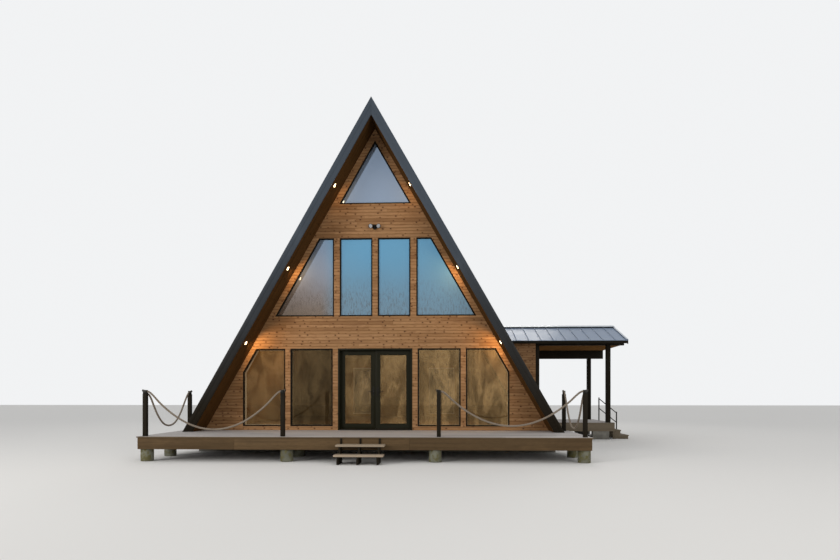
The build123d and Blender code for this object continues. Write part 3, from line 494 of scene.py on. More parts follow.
def make_finishes(tint):
    """Every finish, by name."""
    FINISHES.update({
        "siding": wood("oiled siding boards", tint.cedar, tint.cedar_pale, tint.cedar_dark,
                       tint.knot),
        # The soffit boards' tones carry painted shade of the overhang
        "soffit": wood("oiled soffit boards", tint.soffit, scaled(tint.soffit, 1.25),
                       scaled(tint.soffit, 0.5), tint.knot, rough=0.5, knot_share=0.3, gloss=0.0),
        "ceiling": wood("porch ceiling boards", tint.ceiling, scaled(tint.ceiling, 1.3),
                        scaled(tint.ceiling, 0.5), tint.knot, rough=0.55, knot_share=0.3, gloss=0.0),
        "inside": wood("inside boards", tint.inside, scaled(tint.inside, 1.3),
                       scaled(tint.inside, 0.45), along=1, rough=0.6),
        "floor": wood("inside floor boards", (0.23, 0.125, 0.060), (0.31, 0.18, 0.09),
                      (0.11, 0.05, 0.02), along=1, rough=0.4),
        "timber": wood("framing timber", tint.timber, scaled(tint.timber, 1.5),
                       scaled(tint.timber, 0.5), along=0, rough=0.8),
        "deck": composite("deck boards", tint.deck, 0.72),
        "skirt": composite("deck face boards", tint.skirt, 0.66, spread=0.30, gloss=0.08),
        "covers": composite("edge covers", tint.covers, gloss=0.08),
        "steps": composite("step boards", tint.steps, gloss=0.12),
        "landing": composite("landing boards", tint.landing, on_boards=False, gloss=0.08),
        "roof": coated_metal("coated roof metal", tint.roof, 0.42, ripple=1.0, dust=0.3),
        # The rake metal turns darker brown towards its lower ends
        "roof_edge": coated_metal("coated rake metal", tint.roof_edge, 0.40, ripple=0.6, dust=0.2,
                                  gloss=0.10, foot=(0.012, 0.009, 0.005)),
        "porch_roof": coated_metal("coated porch metal", tint.porch_roof, 0.36, ripple=1.0,
                                   dust=0.15, gloss=0.12),
        "porch_trim": coated_metal("coated porch trims", tint.porch_trim, 0.34, dust=0.15),
        "black": coated_metal("black window coating", tint.black, 0.42, dust=0.15, gloss=0.06),
        "door": coated_metal("painted doors", tint.door, 0.40, ripple=0.15, dust=0.15, gloss=0.08),
        "fittings": coated_metal("black fittings", tint.black, 0.36, gloss=0.15),
        "enamel": coated_metal("lamp enamel", (0.55, 0.53, 0.50), 0.4, dust=0.2),
        "sensor": coated_metal("sensor window", (0.35, 0.36, 0.38), 0.2, dust=0.1),
        "post": stained_timber("stained posts", tint.post),
        "beam": stained_timber("stained beams", tint.post, along=0),
        "lining": painted_boards("painted lining", tint.lining),
        "concrete": cast_concrete("cast concrete", tint.concrete),
        "pier": cast_concrete("pier concrete", tint.pier, tint.moss),
        "glass": window_pane("window glass", tint.glass_blue, tint.glass_pale, tint.glass_grey,
                             tint.glass_low),
        "rope": twisted_rope("twisted rope", tint.rope),
        "lens": lamp_lens("warm lens", tint.light, 14.0),
    })


# Ways of working


# A copy's points closer than this are one point, and its faces within this many degrees are flat
MERGE, FLAT = 0.00005, 0.5

# How nearly a face looks one way, as the cosine of the angle between them
FACING = 0.995

# The sharpest angle, in degrees, that stays as it is
EASE_ANGLE = 30

# The shortest end that a row of boards is left with
SHORT_END = 0.3


def focus(*pieces):
    """Select these objects alone, and work on the first."""
    if bpy.context.object and bpy.context.object.mode != "OBJECT":
        bpy.ops.object.mode_set(mode="OBJECT")
    bpy.ops.object.select_all(action="DESELECT")
    for piece in pieces:
        piece.select_set(True)
    if pieces:
        bpy.context.view_layer.objects.active = pieces[0]


def whole():
    """Select every face in edit mode."""
    bpy.ops.mesh.select_mode(type="FACE")
    bpy.ops.mesh.select_all(action="SELECT")


def edit(piece):
    """Open one object in edit mode with every face selected."""
    focus(piece)
    bpy.ops.object.mode_set(mode="EDIT")
    whole()


def close():
    """Leave edit mode."""
    bpy.ops.object.mode_set(mode="OBJECT")


def settle():
    """Put the selected object's place, turn and scale into its mesh."""
    bpy.ops.object.transform_apply(location=True, rotation=True, scale=True)


def choose(piece, test):
    """Select the faces that pass a test on their middle and normal, and count them."""
    bpy.ops.mesh.select_mode(type="FACE")
    bpy.ops.mesh.select_all(action="DESELECT")
    sheet = bmesh.from_edit_mesh(piece.data)
    found = 0
    for face in sheet.faces:
        if test(face.calc_center_median(), face.normal):
            face.select_set(True)
            found += 1
    bmesh.update_edit_mesh(piece.data)
    return found


def choose_seams(piece):
    """Select the marked edges."""
    bpy.ops.mesh.select_mode(type="EDGE")
    bpy.ops.mesh.select_all(action="DESELECT")
    sheet = bmesh.from_edit_mesh(piece.data)
    for edge in sheet.edges:
        if edge.seam:
            edge.select_set(True)
    bmesh.update_edit_mesh(piece.data)


def keep_facing(piece, out):
    """Open a copy in edit mode and drop every face but those that look one way."""
    edit(piece)
    choose(piece, lambda middle, normal: normal.dot(out) < FACING)
    bpy.ops.mesh.delete(type="FACE")
    whole()


def keep_inner(width):
    """Drop a rim of this width from each selected face."""
    bpy.ops.mesh.inset(thickness=width, use_boundary=True)
    bpy.ops.mesh.select_all(action="INVERT")
    bpy.ops.mesh.delete(type="FACE")
    whole()


def raise_up(out, lift, thick):
    """Lift the selected faces off what they lie on, and give them a thickness."""
    bpy.ops.transform.translate(value=out * lift)
    bpy.ops.mesh.extrude_region_move(TRANSFORM_OT_translate={"value": out * thick})


def ease(piece, width, segments=2, angle=EASE_ANGLE):
    """Round the edges that are sharper than an angle."""
    focus(piece)
    bpy.ops.object.modifier_add(type="BEVEL")
    modifier = piece.modifiers[-1]
    modifier.width = width
    modifier.segments = segments
    modifier.limit_method = "ANGLE"
    modifier.angle_limit = math.radians(angle)
    bpy.ops.object.modifier_apply(modifier=modifier.name)


def together(name, pieces):
    """Join pieces into one."""
    focus(*pieces)
    if len(pieces) > 1:
        bpy.ops.object.join()
    pieces[0].name = name
    return pieces[0]


def copy_of(name, *nodes):
    """A new mesh from copies of CAD nodes, with its loose triangles merged into flat faces."""
    copies = []
    for node in nodes:
        copy = bpy.data.objects.new(name, NODES[node].data.copy())
        copy.data.materials.clear()
        bpy.context.scene.collection.objects.link(copy)
        copies.append(copy)
    piece = together(name, copies)
    edit(piece)
    bpy.ops.mesh.remove_doubles(threshold=MERGE)
    bpy.ops.mesh.dissolve_limited(angle_limit=math.radians(FLAT))
    close()
    return piece


def done(piece, finish, slot_name, *replaced, body=BODY, smooth=30):
    """Give a finished piece its finish, its body and what it stands for; its slot name is not used."""
    focus(piece)
    settle()
    bpy.ops.object.shade_smooth_by_angle(angle=math.radians(smooth))
    piece.data.materials.clear()
    piece.data.materials.append(FINISHES[finish])
    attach(piece, body)
    if replaced:
        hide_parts(*replaced)
    return piece


def soften(name, node, finish, slot_name, width=0.003, segments=2, body=BODY, grain=None):
    """A CAD node with its edges eased, as the real piece's are, and with boards' grain where the
    way along them, the way across them and a seed are given."""
    piece = copy_of(name, node)
    ease(piece, width, segments)
    if grain:
        number_boards(piece, *grain)
    return done(piece, finish, slot_name, node, body=body)


def number_boards(piece, along, across, seed):
    """Give each separate board its own place in the grain and its own tone."""
    draw = random.Random(seed)
    mesh = piece.data
    parent = list(range(len(mesh.vertices)))

    def root(item):
        while parent[item] != item:
            parent[item] = parent[parent[item]]
            item = parent[item]
        return item

    for edge in mesh.edges:
        parent[root(edge.vertices[0])] = root(edge.vertices[1])
    lowest = {}
    for vertex in mesh.vertices:
        key = root(vertex.index)
        lowest[key] = min(lowest.get(key, math.inf), vertex.co.dot(across))
    offsets = {key: (draw.uniform(0, 90), draw.randrange(60), draw.random()) for key in lowest}
    grain = mesh.uv_layers.new(name="boards")
    tone = mesh.attributes.new("board", "FLOAT", "FACE")
    for face in mesh.polygons:
        key = root(face.vertices[0])
        shift_u, shift_v, number = offsets[key]
        tone.data[face.index].value = number
        on_edge = abs(face.normal.dot(across)) > 0.7
        for corner in face.loop_indices:
            place = mesh.vertices[mesh.loops[corner].vertex_index].co
            u = place.dot(along) + shift_u
            v = place.dot(across) - lowest[key] + shift_v * GRAIN_STEP
            if on_edge:
                v += place.dot(along.cross(across))
            grain.data[corner].uv = (u, v)


def lay_boards(name, nodes, out, across, pitch, start, lift, thick, chamfer, seed, lengths, gap=0.0):
    """Cut the faces that look one way into boards of random lengths, then raise each board and
    chamfer its edges."""
    along = across.cross(out)
    draw = random.Random(seed)
    piece = copy_of(name, *nodes)
    keep_facing(piece, out)
    reach = [vertex.co.dot(across) for vertex in bmesh.from_edit_mesh(piece.data).verts]
    first = math.ceil((min(reach) - start) / pitch - 0.02)
    last = int((max(reach) - start) / pitch)
    levels = [start + step * pitch for step in range(first, last + 1)]
    for level in levels:
        whole()
        bpy.ops.mesh.bisect(plane_co=across * level, plane_no=across)
        bpy.ops.mesh.mark_seam()
    for level in [levels[0] - pitch] + levels:
        middle = level + pitch / 2

        def in_row(place, normal):
            return abs(place.dot(across) - middle) < pitch * 0.499

        if not choose(piece, in_row):
            continue
        verts = bmesh.from_edit_mesh(piece.data).verts
        row = [vertex.co.dot(along) for vertex in verts if vertex.select]
        place = min(row) + draw.uniform(0.35, 1.0) * lengths[0]
        while place < max(row) - SHORT_END:
            choose(piece, in_row)
            bpy.ops.mesh.bisect(plane_co=along * place, plane_no=along)
            bpy.ops.mesh.mark_seam()
            place += draw.uniform(*lengths)
    whole()
    bpy.ops.mesh.remove_doubles(threshold=0.0002)
    bpy.ops.mesh.dissolve_limited(angle_limit=math.radians(1), delimit={"SEAM"})
    choose_seams(piece)
    bpy.ops.mesh.edge_split(type="EDGE")
    whole()
    if gap:
        keep_inner(gap / 2)
    raise_up(out, lift, thick)
    bpy.ops.mesh.inset(thickness=chamfer, depth=chamfer * 0.7, use_boundary=True)
    bpy.ops.mesh.mark_seam(clear=True)
    close()
    number_boards(piece, along, across, seed)
    return piece


def bead_rings(name, node, out, width, high):
    """A narrow frame along the edge of each face that looks one way."""
    piece = copy_of(name, node)
    keep_facing(piece, out)
    bpy.ops.mesh.inset(thickness=width, use_boundary=True)
    bpy.ops.mesh.delete(type="FACE")
    whole()
    raise_up(out, 0.0005, high)
    close()
    ease(piece, 0.002)
    return piece


def block(name, low, high, bevel, segments=2):
    """A block between two corners with eased edges."""
    low, high = Vector(low), Vector(high)
    focus()
    bpy.ops.mesh.primitive_cube_add(size=1, location=(low + high) / 2)
    piece = bpy.context.object
    piece.name = name
    piece.scale = high - low
    settle()
    ease(piece, bevel, segments)
    return piece


def rod(name, start, end, radius, sides=24, bevel=0.002):
    """A round bar between two points, with eased ends unless bevel is 0."""
    start, end = Vector(start), Vector(end)
    focus()
    turn = (end - start).to_track_quat("Z", "Y").to_euler()
    bpy.ops.mesh.primitive_cylinder_add(vertices=sides, radius=radius, depth=(end - start).length,
                                        location=(start + end) / 2, rotation=turn)
    piece = bpy.context.object
    piece.name = name
    settle()
    if bevel:
        ease(piece, bevel, angle=40)
    return piece


def add_lamp(kind, name, place, power, tint, aim=None, **settings):
    """A lamp that shines along aim. Only area lamps show in mirrors."""
    light = bpy.data.lights.new(name, kind)
    light.energy = power
    light.color = tint
    for key, value in settings.items():
        setattr(light, key, value)
    lamp = bpy.data.objects.new(name, light)
    lamp.visible_glossy = kind == "AREA"
    lamp.location = place
    if aim:
        lamp.rotation_euler = aim.to_track_quat("-Z", "Y").to_euler()
    bpy.context.scene.collection.objects.link(lamp)


# Operators


class Step(bpy.types.Operator):
    """One step of the cabin's making"""

    bl_options = {"REGISTER", "UNDO"}

    def execute(self, context):
        self.make()
        return {"FINISHED"}


class CABIN_OT_stage(Step):
    """Camera, pale floor, plain light, room lights and the finishes"""

    bl_idname = "cabin.stage"
    bl_label = "Stage"

    def camera(self):
        """The photograph's camera, level and a little turned."""
        bpy.ops.object.camera_add(location=(1.8, -15.8, 1.432),
                                  rotation=(math.pi / 2, 0, math.radians(2.35)))
        camera = bpy.context.object
        camera.data.lens = 36 * PHOTO_FOCAL / PHOTO_WIDE
        camera.data.shift_y = PHOTO_SHIFT / PHOTO_WIDE
        camera.data.clip_end = 300
        bpy.context.scene.camera = camera

    def world(self):
        """Even light, that looks pale to the camera, through glass and in mirrors."""
        world = Finish("soft world", world=True)
        seen, through, mirrored = (world.add("ShaderNodeLightPath", output=f"Is {ray} Ray")
                                   for ray in ("Camera", "Transmission", "Glossy"))
        shade = world.add("ShaderNodeBackground", {}, {"Color": (1, 1, 1), "Strength": 0.62})
        white = world.add("ShaderNodeBackground", {}, {"Color": (0.93, 0.94, 0.95), "Strength": 0.95})
        pale = seen.greater(through).greater(mirrored)
        bpy.context.scene.world = world.show(
            world.add("ShaderNodeMixShader", {}, {0: pale, 1: shade, 2: white}))

    def floor(self):
        """Pale floor under the cabin."""
        bpy.ops.mesh.primitive_plane_add(size=160, location=(0, 0, -0.002))
        floor = bpy.context.object
        floor.name = "floor"
        cover = Finish("pale floor")
        cloud = cover.noise(cover.object_place(), 0.4)
        shade = cover.layers((0.78, 0.775, 0.76), (cloud * 0.3, (0.82, 0.815, 0.80)))
        floor.data.materials.append(cover.surface(shade, cloud * 0.1 + 0.85))

    def lamps(self):
        """Soft boxes outside, and the lights of the rooms."""
        for place, power, width, target in (
            ((-17, -20, 8), 1000, 10, (0, 0, 3)),
            ((13, -20, 6), 430, 11, (0, 0, 3)),
            ((4, 24, 16), 350, 10, (0, 6, 3)),
        ):
            aim = Vector(target) - Vector(place)
            add_lamp("AREA", "soft box", place, power, (1.0, 0.97, 0.93), aim, size=width,
                     spread=math.radians(100))
        for place, power in (
            ((-1.6, 3.5, 2.7), 60),
            ((1.6, 3.5, 2.7), 60),
            ((0, 8.0, 2.6), 14),
            ((0, 4.0, 5.6), 25),
        ):
            add_lamp("POINT", "room light", place, power, (1.0, 0.80, 0.58), shadow_soft_size=0.25)

    def make(self):
        bpy.context.scene.view_settings.view_transform = "Standard"
        self.camera()
        self.world()
        self.floor()
        self.lamps()
        make_finishes(tints())


# Routes of the ropes' middle lines, in metres, as in the part's source: the front ones for a bay
# of this half length, and the side ones from the wall
FRONT_ROUTE = [(-1.635, .853), (-1.51, .84), (-1.4, .745), (-1.24, .569), (-.96, .334), (-.61, .124),
               (-.21, 0), (.21, 0), (.61, .124), (.96, .334), (1.24, .569), (1.4, .745), (1.51, .84),
               (1.635, .853)]
SIDE_ROUTE = [(-2.417, .928), (-2.325, .928), (-2.215, .835), (-2.08, .658), (-1.88, .42), (-1.6, .22),
              (-1.29, .165), (-.98, .225), (-.69, .435), (-.44, .725), (-.285, .895), (-.155, .99),
              (-.03, 1.003)]
ROUTE_HALF, ROPE_PAST, ROPE_START = 1.635, 0.052, 0.928
POST_OUTER, POST_Y = 4.79, -2.57

# For each side: its sign, its inner post's place, the front rope's lowest height and how much of
# the route's rise it has, how much of its sag the side rope has, and the two ropes' real lengths
ROPES = (("left", -1, 1.736, 0.15, 1.0, 1.0, (3.71, 2.98)),
         ("right", 1, 1.664, 0.237, 0.897, 1.066, (3.67, 3.05)))
ROPE_THICK, STRAND_RADIUS, STRAND_TURN, STRAND_STEP = 0.045, 0.0117, 0.0108, 0.0125


class CABIN_OT_ropes(Step):
    """Twisted ropes that hang between the rail posts, with their end caps"""

    bl_idname = "cabin.ropes"
    bl_label = "Ropes"

    def line(self, name, points):
        """Points along the smooth line of a route."""
        curve = bpy.data.curves.new(name, "CURVE")
        curve.dimensions = "3D"
        curve.resolution_u = 24
        spline = curve.splines.new("NURBS")
        spline.points.add(len(points) - 1)
        for point, place in zip(spline.points, points):
            point.co = (*place, 1)
        spline.order_u = 3
        spline.use_endpoint_u = True
        holder = bpy.data.objects.new(name, curve)
        bpy.context.scene.collection.objects.link(holder)
        bpy.context.view_layer.update()
        mesh = bpy.data.meshes.new_from_object(holder)
        path = [vertex.co.copy() for vertex in mesh.vertices]
        bpy.data.objects.remove(holder)
        bpy.data.meshes.remove(mesh)
        return path

    def strands(self, name, path):
        """Strands wound round a line, as one mesh."""
        size = sizes()
        side = X if abs(path[0].x - path[-1].x) < 0.01 else Y
        curve = bpy.data.curves.new(name, "CURVE")
        curve.dimensions = "3D"
        curve.bevel_depth = STRAND_RADIUS
        curve.bevel_resolution = 2
        curve.use_fill_caps = True
        travelled = [0.0]
        for first, second in zip(path, path[1:]):
            travelled.append(travelled[-1] + (second - first).length)
        steps = int(travelled[-1] / STRAND_STEP)
        rounds = []
        index = 0
        for step in range(steps + 1):
            goal = travelled[-1] * step / steps
            while index < len(path) - 2 and travelled[index + 1] < goal:
                index += 1
            share = (goal - travelled[index]) / (travelled[index + 1] - travelled[index])
            ahead = (path[index + 1] - path[index]).normalized()
            rounds.append((path[index].lerp(path[index + 1], share), ahead.cross(side), goal))
        for number in range(size.strands):
            spline = curve.splines.new("POLY")
            spline.points.add(len(rounds) - 1)
            for point, (middle, up, goal) in zip(spline.points, rounds):
                turn = 2 * math.pi * (goal / size.strand_lead + number / size.strands)
                place = middle + (side * math.cos(turn) + up * math.sin(turn)) * STRAND_TURN
                point.co = (*place, 1)
        piece = bpy.data.objects.new(name, curve)
        bpy.context.scene.collection.objects.link(piece)
        focus(piece)
        bpy.ops.object.convert(target="MESH")
        piece = bpy.context.object
        if not piece.data.uv_layers:
            piece.data.uv_layers.new(name="yarns")
        piece.data.uv_layers[0].name = "yarns"
        return piece

    def cap(self, name, tip, out):
        """Turned cap on a rope's free end."""
        piece = rod(name, tip, tip + out * 0.012, radius=0.026, sides=32, bevel=0)
        edit(piece)
        choose(piece, lambda middle, normal: normal.dot(out) > 0.9)
        bpy.ops.mesh.inset(thickness=0.006, depth=0.0)
        bpy.ops.mesh.inset(thickness=0.003, depth=-0.003)
        close()
        ease(piece, 0.002, angle=35)
        return done(piece, "fittings", "dark_metal", "rope_end_caps")

    def rope(self, node, route, free_ends, real_length):
        """One rope on its route, with caps on its free ends."""
        path = self.line(node, route)
        piece = self.strands(f"{node}_strands", path)
        done(piece, "rope", "rope", node, smooth=60)
        caps = []
        for end in free_ends:
            tip, inner = path[end], path[1 if end == 0 else -2]
            caps.append(self.cap(f"{node}_cap_{len(caps)}", tip, (tip - inner).normalized()))

    def make(self):
        for hand, side, inner, low, rise, sag, lengths in ROPES:
            middle = side * (POST_OUTER + inner) / 2
            wide = ((POST_OUTER - inner) / 2 + ROPE_PAST) / ROUTE_HALF
            route = [(middle + u * wide, POST_Y, DECK_TOP + low + rise * v) for u, v in FRONT_ROUTE]
            self.rope(f"rope_front_{hand}", route, (0, -1), lengths[0])
            start = DECK_TOP + ROPE_START
            route = [(side * POST_OUTER, y + WALL_FACE, start + (z - ROPE_START) * sag)
                     for y, z in SIDE_ROUTE]
            self.rope(f"rope_side_{hand}", route, (-1,), lengths[1])


class CABIN_OT_siding(Step):
    """Boards on the gable walls and on the entry"""

    bl_idname = "cabin.siding"
    bl_label = "Siding"

    def make(self):
        size = sizes()
        for name, nodes, out, seed in (
            ("siding_front", ("front_wall_left", "front_wall_right", "front_wall_upper"), -Y, 11),
            ("siding_back", ("back_wall",), Y, 12),
            ("siding_entry_front", ("entry_wall_front", "entry_wall_outer"), -Y, 13),
            ("siding_entry_rear", ("entry_wall_rear",), Y, 14),
            ("siding_entry_outer", ("entry_wall_outer",), X, 15),
        ):
            piece = lay_boards(name, nodes, out, Z, size.siding_pitch, start=DECK_TOP, lift=0.0004,
                               thick=size.siding_thick, chamfer=size.groove, seed=seed,
                               lengths=(1.6, 3.6))
            done(piece, "siding", "cedar_siding")


class CABIN_OT_soffit(Step):
    """Boards under the overhangs, front and back"""

    bl_idname = "cabin.soffit"
    bl_label = "Soffit"

    def make(self):
        size = sizes()
        for hand, side in (("left", -1), ("right", 1)):
            out = Vector((-side * math.sin(PITCH), 0, -math.cos(PITCH)))
            piece = lay_boards(f"soffit_{hand}", ("soffit_boards",), out, Y, size.soffit_pitch,
                               start=-0.912, lift=-0.010, thick=0.0075, chamfer=size.groove,
                               seed=21 + side, lengths=(2.4, 4.2))
            done(piece, "soffit", "soffit_wood", "soffit_boards")


class CABIN_OT_roof(Step):
    """Rake metal, barge boards, ridge cap and seamed sheets"""

    bl_idname = "cabin.roof"
    bl_label = "Roof"

    def make(self):
        soften("rake_metal", "rake_trims", "roof_edge", "roof_metal", 0.002)
        soften("barge_faces", "barge_boards", "roof_edge", "roof_metal")
        soften("ridge_metal", "ridge_cap", "roof", "roof_metal", 0.002)
        for node in ("roof_metal_left", "roof_metal_right"):
            soften(f"{node}_seamed", node, "roof", "roof_metal", 0.0015, 1)


class CABIN_OT_windows(Step):
    """Eased window frames, beads round the glass, and painted liners"""

    bl_idname = "cabin.windows"
    bl_label = "Windows"

    def make(self):
        size = sizes()
        soften("window_frames_eased", "window_frames", "black", "black_frame", 0.004)
        for name, out in (("glass_beads_front", -Y), ("glass_beads_back", Y)):
            piece = bead_rings(name, "window_glass", out, size.bead_wide, size.bead_high)
            done(piece, "black", "black_frame")
        soften("window_liners_eased", "window_liners", "lining", "white_lining", 0.002)


class CABIN_OT_doors(Step):
    """French doors with their frame, beads, levers, hinges and threshold"""

    bl_idname = "cabin.doors"
    bl_label = "Doors"

    def make(self):
        soften("door_frame_eased", "door_frame", "door", "door_paint")
        soften("door_hinges_eased", "door_hinges", "fittings", "door_metal", 0.0008)
        for hand in ("left", "right"):
            body = f"door_{hand}"
            leaf, lever = f"door_leaf_{hand}", f"door_lever_{hand}"
            soften(f"{leaf}_eased", leaf, "door", "door_paint", 0.0025, body=body)
            soften(f"{lever}_eased", lever, "fittings", "door_metal", 0.003, 3, body=body)
            for face, out in (("out", -Y), ("in", Y)):
                piece = bead_rings(f"door_bead_{hand}_{face}", f"door_glass_{hand}", out,
                                   width=0.016, high=0.011)
                done(piece, "door", "door_paint", body=body)
        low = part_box("door_frame")[0]
        half, before, behind, thick = 0.90, 0.02, 0.11, 0.022
        threshold = block("door_threshold", (-half, low.y - before, low.z),
                          (half, low.y + behind, low.z + thick), 0.004)
        done(threshold, "fittings", "door_metal")


class CABIN_OT_deck(Step):
    """Deck boards, edge covers, face boards, framing, piers and posts"""

    bl_idname = "cabin.deck"
    bl_label = "Deck"

    def covers(self, low, high):
        """Thin covers on the deck's front and side edges, their own dark brown and partly painted shade
        along the deck's edge.
        """
        thick, bevel, top = 0.0024, 0.0008, high.z - 0.003
        side_start = low.y + thick
        edges = [block("deck_edge", low, (high.x, side_start, top), bevel)]
        for x in (low.x, high.x - thick):
            edges.append(block("deck_edge", (x, side_start, low.z), (x + thick, high.y, top), bevel))
        covers = together("deck_edge_covers", edges)
        number_boards(covers, X, Z, 36)
        done(covers, "covers", "deck_skirt")

    def make(self):
        size = sizes()
        low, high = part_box("deck_boards")
        piece = lay_boards("deck_planks", ("deck_boards",), Z, Y, size.deck_pitch, start=low.y,
                           lift=-0.025, thick=0.0232, chamfer=0.0025, seed=31, lengths=(3.0, 4.9),
                           gap=size.deck_gap)
        done(piece, "deck", "deck_boards", "deck_boards")
        self.covers(low, high)
        soften("skirt_boards", "deck_skirt", "skirt", "deck_skirt", grain=(X, Z, 35))
        soften("deck_frame", "deck_framing", "timber", "deck_timber")
        soften("piers_round", "deck_piers", "pier", "pier_concrete", 0.012, 3)
        soften("rail_posts", "deck_posts", "post", "dark_post", 0.004)
        soften("rope_saddles", "rope_brackets", "fittings", "dark_metal", 0.0015)


class CABIN_OT_steps(Step):
    """Front steps: boards on cut stringers, whose heads stand on the deck's face"""

    bl_idname = "cabin.steps"
    bl_label = "Front steps"

    def make(self):
        piece = lay_boards("step_planks", ("front_steps",), Z, Y, pitch=0.1425, start=-2.98,
                           lift=-0.040, thick=0.0375, chamfer=0.0035, seed=41, lengths=(5.0, 6.0),
                           gap=0.006)
        done(piece, "steps", "step_boards", "front_steps")
        soften("stringers", "step_stringers", "post", "deck_timber", 0.004)
        tread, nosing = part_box("front_steps")[1].z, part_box("deck_boards")[0].z
        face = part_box("deck_skirt")[0].y
        half, thick = 0.020, 0.022
        heads = [block("head", (x - half, face - thick, tread), (x + half, face, nosing), 0.002)
                 for x in (-0.435, -0.018, 0.399)]
        done(together("stringer_heads", heads), "post", "deck_timber")


class CABIN_OT_lights(Step):
    """Soffit lights with glowing lenses, and the floodlight in the gable"""

    bl_idname = "cabin.lights"
    bl_label = "Lights"

    def soffit_lights(self):
        """Rims, and a raised lens in the face of each that looks down."""
        soften("light_rims", "soffit_lights", "enamel", "lamp")
        lenses = copy_of("light_lenses", "soffit_lights")
        edit(lenses)
        choose(lenses, lambda middle, normal: not (normal.z < -0.3 and abs(normal.y) < 0.01))
        bpy.ops.mesh.delete(type="FACE")
        whole()
        keep_inner(0.012)
        bpy.ops.mesh.inset(thickness=0.006, depth=0.003)
        close()
        done(lenses, "lens", "lamp")

    def floodlight(self):
        """Two hooded heads on an arm, with their plate and sensor."""
        low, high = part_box("wall_floodlight")
        wall, z = high.y, (low.z + high.z) / 2
        arm, reach = Vector((0, wall - 0.070, z + 0.012)), Vector((0.078, 0, 0))
        pieces = [rod("plate", (0, wall, z), (0, wall - 0.024, z), radius=0.062, sides=40,
                      bevel=0.004),
                  rod("stem", (0, wall - 0.02, z), (0, wall - 0.080, z), radius=0.018),
                  rod("arm", arm - reach, arm + reach, radius=0.010),
                  block("sensor", (-0.020, wall - 0.075, z - 0.078), (0.020, wall - 0.030, z - 0.016),
                        bevel=0.008, segments=3)]
        lenses = []
        for side in (-1, 1):
            aim = Vector((side * 0.30, -0.85, -0.42)).normalized()
            neck = arm + side * reach + Vector((0, -0.010, 0.010))
            focus()
            bpy.ops.mesh.primitive_cone_add(vertices=40, radius1=0.058, radius2=0.033, depth=0.108,
                                            location=neck + aim * 0.028,
                                            rotation=aim.to_track_quat("-Z", "Y").to_euler())
            hood = bpy.context.object
            settle()
            edit(hood)
            choose(hood, lambda middle, normal: normal.dot(aim) > 0.95)
            bpy.ops.mesh.inset(thickness=0.005, depth=0.0)
            bpy.ops.mesh.inset(thickness=0.002, depth=-0.018)
            close()
            pieces.append(hood)
            lens = neck + aim * 0.066
            lenses.append(rod("lens", lens, lens + aim * 0.006, radius=0.048, sides=32))
        done(together("floodlight", pieces), "fittings", "lamp", "wall_floodlight")
        done(together("floodlight_lenses", lenses), "sensor", "lamp")

    def glow(self):
        """Light of the soffit fittings, thrown down the slope and on the wall."""
        slope = ROOF_RISE / RUN
        for side in (-1, 1):
            for z, power in ((2.75, 27), (4.60, 19), (6.65, 6)):
                x = side * ((APEX_Z - z) / slope - SOFFIT_DEPTH / math.sin(PITCH) - 0.03)
                aim = Vector((-side * math.sin(PITCH), 0.8, -math.cos(PITCH) - 0.2))
                add_lamp("SPOT", "fitting glow", (x, -0.54, z - 0.015), power, tints().light, aim,
                         spot_size=math.radians(150), spot_blend=0.4, shadow_soft_size=0.03)

    def make(self):
        self.soffit_lights()
        self.floodlight()
        self.glow()


